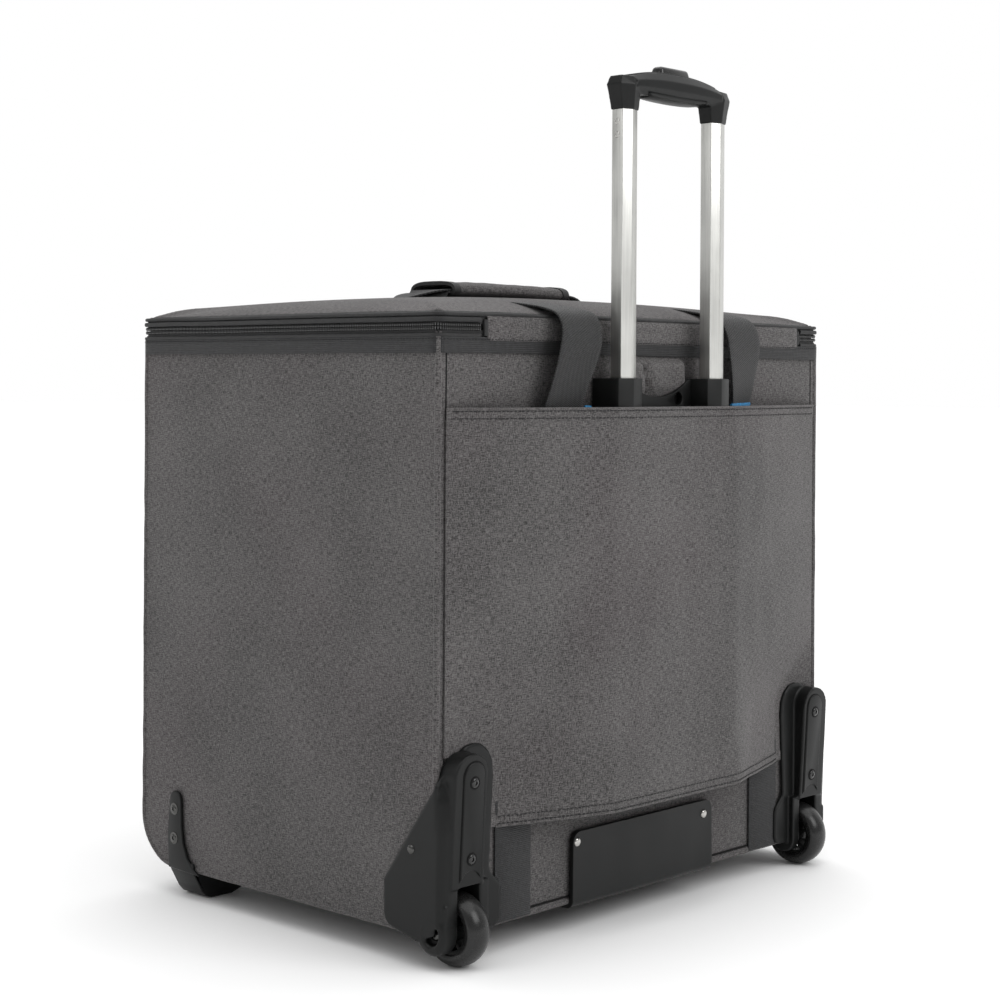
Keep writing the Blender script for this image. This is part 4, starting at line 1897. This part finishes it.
bar = loft([bar_section(x) for x in levels(-TUBE_X + 0.002, TUBE_X - 0.002, 0.006)])
flowed("grip_finished", [*grip_column(1), *grip_column(-1), bar], BLACK, "handle", "black_plastic",
       ["grip"],
              voxel=0.0008, rounds=2, keep_share=0.35)
keep("grip_belly", grip_belly(), BLACK, "handle", "black_plastic", sharp=180)
cap_rings = [[(x, TUBE_Y + a, bar_section(x)[0][2] + b) for a, b in
              ((0.0074, -0.001), (0.0074, 0.0002), (0.0066, 0.0009), (-0.0066, 0.0009), (-0.0074, 0.0002),
               (-0.0074, -0.001))]
             for x in levels(-0.0560, 0.0560, 0.004)]
keep("grip_cap", loft(cap_rings), BLACK, "handle", "black_plastic", sharp=50)
button_low, button_high = case_box("release_button")
button = block(button_low, button_high, taper=0.0022)
button = settle(button, ("BEVEL", {"width": 0.0028, "segments": 4}))
keep("release_button_finished", button, GLOSS_BLACK, "release_button", "black_plastic",
     ["release_button"])
print("grip from", round(GRIP_FOOT, 3), "to", round(GRIP_TOP, 3))

# %% [markdown]
# The front feet are straps on the side walls that turn under the case and end in a standing block. The
# strap is thin, flares backwards at its foot and has two screws. The block slopes in under the case
# like the side of a boat, which an outline across the case shows best.

# %% Front feet
for side, sign in SIDES:
    low, high = case_box("front_foot_left")
    top = high.z
    strip = [(low.y + 0.0020, 0.0260), (low.y + 0.0460, 0.0245), (low.y + 0.0385, 0.0285),
             (low.y + 0.0290, 0.0380), (low.y + 0.0230, 0.0510),
             (low.y + 0.0205, 0.0660), (low.y + 0.0195, top - 0.0085),
             *arc((low.y + 0.0115, top - 0.0085), 0.0080, 0, 180, 10), (low.y + 0.0005, 0.058)]
    face = slab(strip, "YZ", WIDE + 0.0002, high.x)
    sole = [(high.x - 0.0004, 0.0340), (high.x - 0.0010, 0.0260), (0.2570, 0.0075), (0.2520, 0.0022),
            (0.2455, 0.0000), (0.2220, 0.0000),
            (0.2110, 0.0035), (0.2020, 0.0105), (low.x + 0.0015, 0.0190), (low.x, 0.0246),
            (WIDE - 0.001, 0.0246), (WIDE + 0.0004, 0.0340)]
    foot = slab(sole, "XZ", low.y + 0.0030, low.y + 0.0375)
    parts = [settle(p, ("BEVEL",
                        {"width": w, "segments": 4, "limit_method": "ANGLE",
                         "angle_limit": math.radians(25)}))
             for p, w in ((face, 0.0011), (foot, 0.0024))]
    shape = joined(parts)
    if sign < 0:
        shape.transform(Matrix.Scale(-1, 4, (1, 0, 0)))
        shape.flip_normals()
    keep(f"front_foot_{side}_finished", shape, BLACK, "case", "black_plastic", [f"front_foot_{side}"])
    spots = [((sign * (high.x + 0.0001), low.y + 0.0105, z), (sign, 0, 0)) for z in (0.0800, 0.0535)]
    fasten(f"foot_screws_{side}", spots, SCREW, BLACK_NICKEL, "case", "steel")
    fasten(f"foot_rings_{side}", spots, RING, BLACK_NICKEL, "case", "steel")
print("two front feet")

# %% [markdown]
# The front has a launch window in a framed bezel and a small control panel: a speed dial with a ring of
# tick marks, a power button and a charging socket. The marks are the only print, and they are plain
# ticks of growing length, stamped round the dial by rule.

# %% Launch window and control panel
refined("window_bezel", BLACK, "case", "black_plastic", 0.0014, 3)
corner_x, corner_z = window_high.x - 0.0055, (window_low.z + 0.0055, window_high.z - 0.0055)
fasten("bezel_screws", [((s * corner_x, window_low.y - 0.0002, z), (0, -1, 0))
                        for _, s in SIDES for z in corner_z],
       SCREW, GLOSS_BLACK, "case", "black_plastic")
refined("control_panel", BLACK, "case", "black_plastic", 0.0012, 3)
panel_low, panel_high = case_box("control_panel")
screw_spots = [((x, panel_low.y - 0.0001, z), (0, -1, 0))
               for x in (panel_low.x + 0.008, panel_high.x - 0.008)
               for z in (panel_low.z + 0.008, panel_high.z - 0.008)]
fasten("panel_screws", screw_spots, PIT, NICKEL, "case", "steel")
knob_low, knob_high = case_box("speed_knob")
KNOB_X, KNOB_Z = (knob_low.x + knob_high.x) / 2, (knob_low.z + knob_high.z) / 2
KNOB_R = (knob_high.x - knob_low.x) / 2
TICKS = 11
ticks = []
for i in range(TICKS):
    turn = math.radians(225 - 27 * i)
    length = 0.0020 + 0.0003 * i
    tick = block((-0.0004, -0.0002, KNOB_R + 0.0022), (0.0004, 0.0002, KNOB_R + 0.0022 + length))
    tick.transform(Matrix.Translation((KNOB_X, panel_low.y - 0.0001, KNOB_Z))
                   @ Matrix.Rotation(turn - math.pi / 2, 4, "Y"))
    ticks.append(settle(tick, ("BEVEL", {"width": 0.0001, "segments": 1})))
keep("dial_ticks", joined(ticks), WHITE_INK, "case", "black_plastic")
button_ring = lathe([(0.0086, 0.0), (0.0086, -0.0007), (0.0098, -0.0007), (0.0098, 0.0)], "Y", steps=40,
                    ring=True)
power_low, power_high = case_box("power_button")
POWER_X, POWER_Z = (power_low.x + power_high.x) / 2, (power_low.z + power_high.z) / 2
button_ring.transform(Matrix.Translation((POWER_X, panel_low.y + 0.0001, POWER_Z)))
keep("power_ring", button_ring, NICKEL, "case", "steel")
print(len(ticks), "ticks")

# %% [markdown]
# The knob is turned in one profile with flutes cut round its skirt and a white pointer line on top. The
# button is a shallow dish, so that a finger finds it, and the socket is a steel collar round a pin.

# %% Knob, button and socket
FLUTES = 18
knob_profile = [(0.0036, 0.0), (0.0036, -0.0020), (KNOB_R - 0.0004, -0.0024), (KNOB_R, -0.0032),
                (KNOB_R - 0.0012, -0.0120),
                (KNOB_R - 0.0026, -0.0132), (0.0070, -0.0136), (0.0003, -0.0132)]
knob = lathe(knob_profile, "Y", steps=FLUTES * 6)
for vertex in knob.vertices:
    reach = math.hypot(vertex.co.x, vertex.co.z)
    if reach > KNOB_R - 0.0024:
        wave = 0.5 + 0.5 * math.cos(FLUTES * math.atan2(vertex.co.z, vertex.co.x))
        vertex.co.x *= 1 - 0.0009 * wave / reach
        vertex.co.z *= 1 - 0.0009 * wave / reach
depth = (knob_high.y - knob_low.y) / 0.0136
knob.transform(Matrix.Translation((KNOB_X, knob_high.y, KNOB_Z)) @ Matrix.Scale(depth, 4, (0, 1, 0)))
keep("speed_knob_finished", knob, ORANGE, "speed_knob", "accent_plastic", ["speed_knob"], sharp=50)
pointer = block((KNOB_X - 0.0005, knob_low.y - 0.0003, KNOB_Z + 0.0020),
                (KNOB_X + 0.0005, knob_low.y + 0.0010, KNOB_Z + KNOB_R - 0.0030))
pointer = settle(pointer, ("BEVEL", {"width": 0.0002, "segments": 1}))
keep("knob_pointer", pointer, WHITE_INK, "speed_knob", "accent_plastic")
power_r = (power_high.x - power_low.x) / 2
power = lathe([(power_r, 0.0), (power_r, -0.0030), (power_r - 0.0008, -0.0037), (0.0048, -0.0033),
               (0.0003, -0.0027)], "Y", steps=48)
power.transform(Matrix.Translation((POWER_X, power_high.y, POWER_Z)))
keep("power_button_finished", power, ORANGE, "power_button", "accent_plastic", ["power_button"])
inlet_low, inlet_high = case_box("charge_inlet")
inlet_r = (inlet_high.x - inlet_low.x) / 2
inlet = lathe([(inlet_r, 0.0), (inlet_r, -0.0034), (inlet_r - 0.0010, -0.0045), (0.0066, -0.0045),
               (0.0058, -0.0038), (0.0056, -0.0006),
               (0.0014, -0.0006), (0.0014, -0.0036), (0.0003, -0.0040)], "Y", steps=48)
inlet.transform(Matrix.Translation(((inlet_low.x + inlet_high.x) / 2, inlet_high.y,
                                    (inlet_low.z + inlet_high.z) / 2)))
keep("charge_inlet_finished", inlet, STEEL, "case", "steel", ["charge_inlet"])
print("knob with", FLUTES, "flutes")

# %% [markdown]
# Each zip slider is a small saddle over the teeth with a long pull hanging from it. The pulls end in a
# ribbed rubber tab, which is what a hand really holds.

# %% Zip sliders
for side, sign in SIDES:
    low, high = case_box(f"zip_slider_{side}")
    refined(f"zip_slider_{side}", BLACK_NICKEL, f"zip_slider_{side}", "steel", 0.0005)
    middle = (low.x + high.x) / 2
    tab = block((middle - 0.0033, low.y - 0.0006, low.z - 0.0060),
                (middle + 0.0033, low.y + 0.0022, low.z + 0.0150))
    ribs = [block((middle - 0.0034, low.y - 0.0009, low.z - 0.0040 + 0.0028 * i),
                  (middle + 0.0034, low.y + 0.0024, low.z - 0.0028 + 0.0028 * i)) for i in range(6)]
    ribs = [settle(part, ("BEVEL", {"width": 0.0004, "segments": 2})) for part in [tab, *ribs]]
    keep(f"zip_pull_{side}", joined(ribs), THREAD, f"zip_slider_{side}", "webbing")
print("two sliders")

# %% [markdown]
# Inside, the launcher stands on a plywood board. Its parts are moulded or pressed, so each CAD shape is
# copied, merged and given small round edges in its own finish. The hopper's and chute's thin walls get
# the smallest rounds. The ball carousel, its ring and the plate keep their real openings.

# %% Launcher parts with round edges
INNER_PARTS = (
    ("ball_hopper", GREY_PLASTIC, "case", "grey_plastic", 0.0008, 60),
    ("feed_plate", GREY_PLASTIC, "case", "grey_plastic", 0.0010, 35),
    ("carousel_ring", GREY_PLASTIC, "case", "grey_plastic", 0.0007, 35),
    ("drop_chute", GREY_PLASTIC, "case", "grey_plastic", 0.0006, 50),
    ("feed_carousel", GREY_PLASTIC, "feed_carousel", "grey_plastic", 0.0012, 40),
    ("exit_barrel", GREY_PLASTIC, "cradle", "grey_plastic", 0.0006, 50),
    ("cradle", PLATE, "cradle", "aluminium", 0.0006, 30),
    ("turntable", PLATE, "turntable", "aluminium", 0.0006, 30),
    ("stand_left", PLATE, "case", "aluminium", 0.0006, 30),
    ("stand_right", PLATE, "case", "aluminium", 0.0006, 30),
    ("base_board", PLYWOOD, "case", "plywood", 0.0010, 30),
    ("battery", BLACK, "case", "black_plastic", 0.0020, 30),
    ("control_box", BLACK, "case", "black_plastic", 0.0020, 30),
    ("drive_roller", FOAM_RUBBER, "drive_roller", "wheel_rubber", 0.0005, 40),
)
for node, material, body, slot, width, sharp in INNER_PARTS:
    refined(node, material, body, slot, width, 2, sharp=sharp)
print(len(INNER_PARTS), "inner parts finished")

# %% [markdown]
# The launch wheels are foam rubber on moulded hubs. Their tread is turned with shallow grooves that
# grip the ball, and each hub is held by a ring of small screws. The motors are steel cans with a black
# end bell, a wire gland and a raised bearing seat.

# %% Launch wheels and motors
TREAD_RIBS, HUB_SCREWS, SCREW_CIRCLE = 5, 6, 0.016
for side, sign in SIDES:
    low, high = case_box(f"launch_wheel_{side}")
    motor_low, motor_high = case_box(f"launch_motor_{side}")
    x, y, radius = (low.x + high.x) / 2, (low.y + high.y) / 2, (high.x - low.x) / 2
    top, foot = high.z, high.z - 0.040
    print(side, "launch wheel", round(radius, 4), round(low.z, 4), round(high.z, 4))
    refined(f"launch_wheel_{side}", FOAM_RUBBER, f"launch_wheel_{side}", "wheel_rubber", 0.0010, 3)
    grooves = []
    for i in range(TREAD_RIBS):
        z = foot + 0.0060 + 0.0070 * i
        grooves.append(lathe([(radius - 0.0006, -0.0009), (radius + 0.0006, -0.0006),
                              (radius + 0.0006, 0.0006), (radius - 0.0006, 0.0009)],
                             "Z", (x, y, z), 64, ring=True))
    keep(f"tread_ribs_{side}", joined(grooves), FOAM_RUBBER, f"launch_wheel_{side}", "wheel_rubber",
         sharp=60)
    turns = [math.radians(360 / HUB_SCREWS * i) for i in range(HUB_SCREWS)]
    spots = [((x + SCREW_CIRCLE * math.cos(t), y + SCREW_CIRCLE * math.sin(t), top + 0.0001), (0, 0, 1))
             for t in turns]
    fasten(f"hub_screws_{side}", spots, RIVET, NICKEL, f"launch_wheel_{side}", "steel")
    refined(f"launch_motor_{side}", STEEL, "cradle", "steel", 0.0012, 3)
    mx, my = (motor_low.x + motor_high.x) / 2, (motor_low.y + motor_high.y) / 2
    mr = (motor_high.x - motor_low.x) / 2
    bell = lathe([(0.0004, -0.0022), (0.0060, -0.0022), (0.0064, -0.0004), (mr - 0.0020, 0.0),
                  (mr + 0.0002, 0.0014), (mr + 0.0002, 0.0090), (0.0004, 0.0090)],
                 "Z", (mx, my, motor_low.z + 0.0006), 48)
    keep(f"motor_bell_{side}", bell, BLACK, "cradle", "black_plastic", sharp=50)
for node, body in (("feed_motor", "case"), ("oscillation_motor", "case")):
    refined(node, STEEL, body, "steel", 0.0010, 3)
    low, high = case_box(node)
    mx, my, mr = (low.x + high.x) / 2, (low.y + high.y) / 2, min(high.x - low.x, high.y - low.y) / 2
    if node == "oscillation_motor":
        my = low.y + mr
    label = lathe([(mr - 0.0004, -0.0045), (mr + 0.0004, -0.0042), (mr + 0.0004, 0.0042),
                   (mr - 0.0004, 0.0045)], "Z", (mx, my, low.z + 0.012), 48, ring=True)
    keep(f"{node}_band", label, BLACK, body, "black_plastic", sharp=50)
print("wheels and motors finished")

# %% [markdown]
# The stamps were only patterns for the node trees, so they go before the scene is checked. The CAD's
# box and the finished model's box are written side by side, and the last call closes the scene.

# %% Finish
for obj in STAMPS:
    bpy.data.objects.remove(obj)
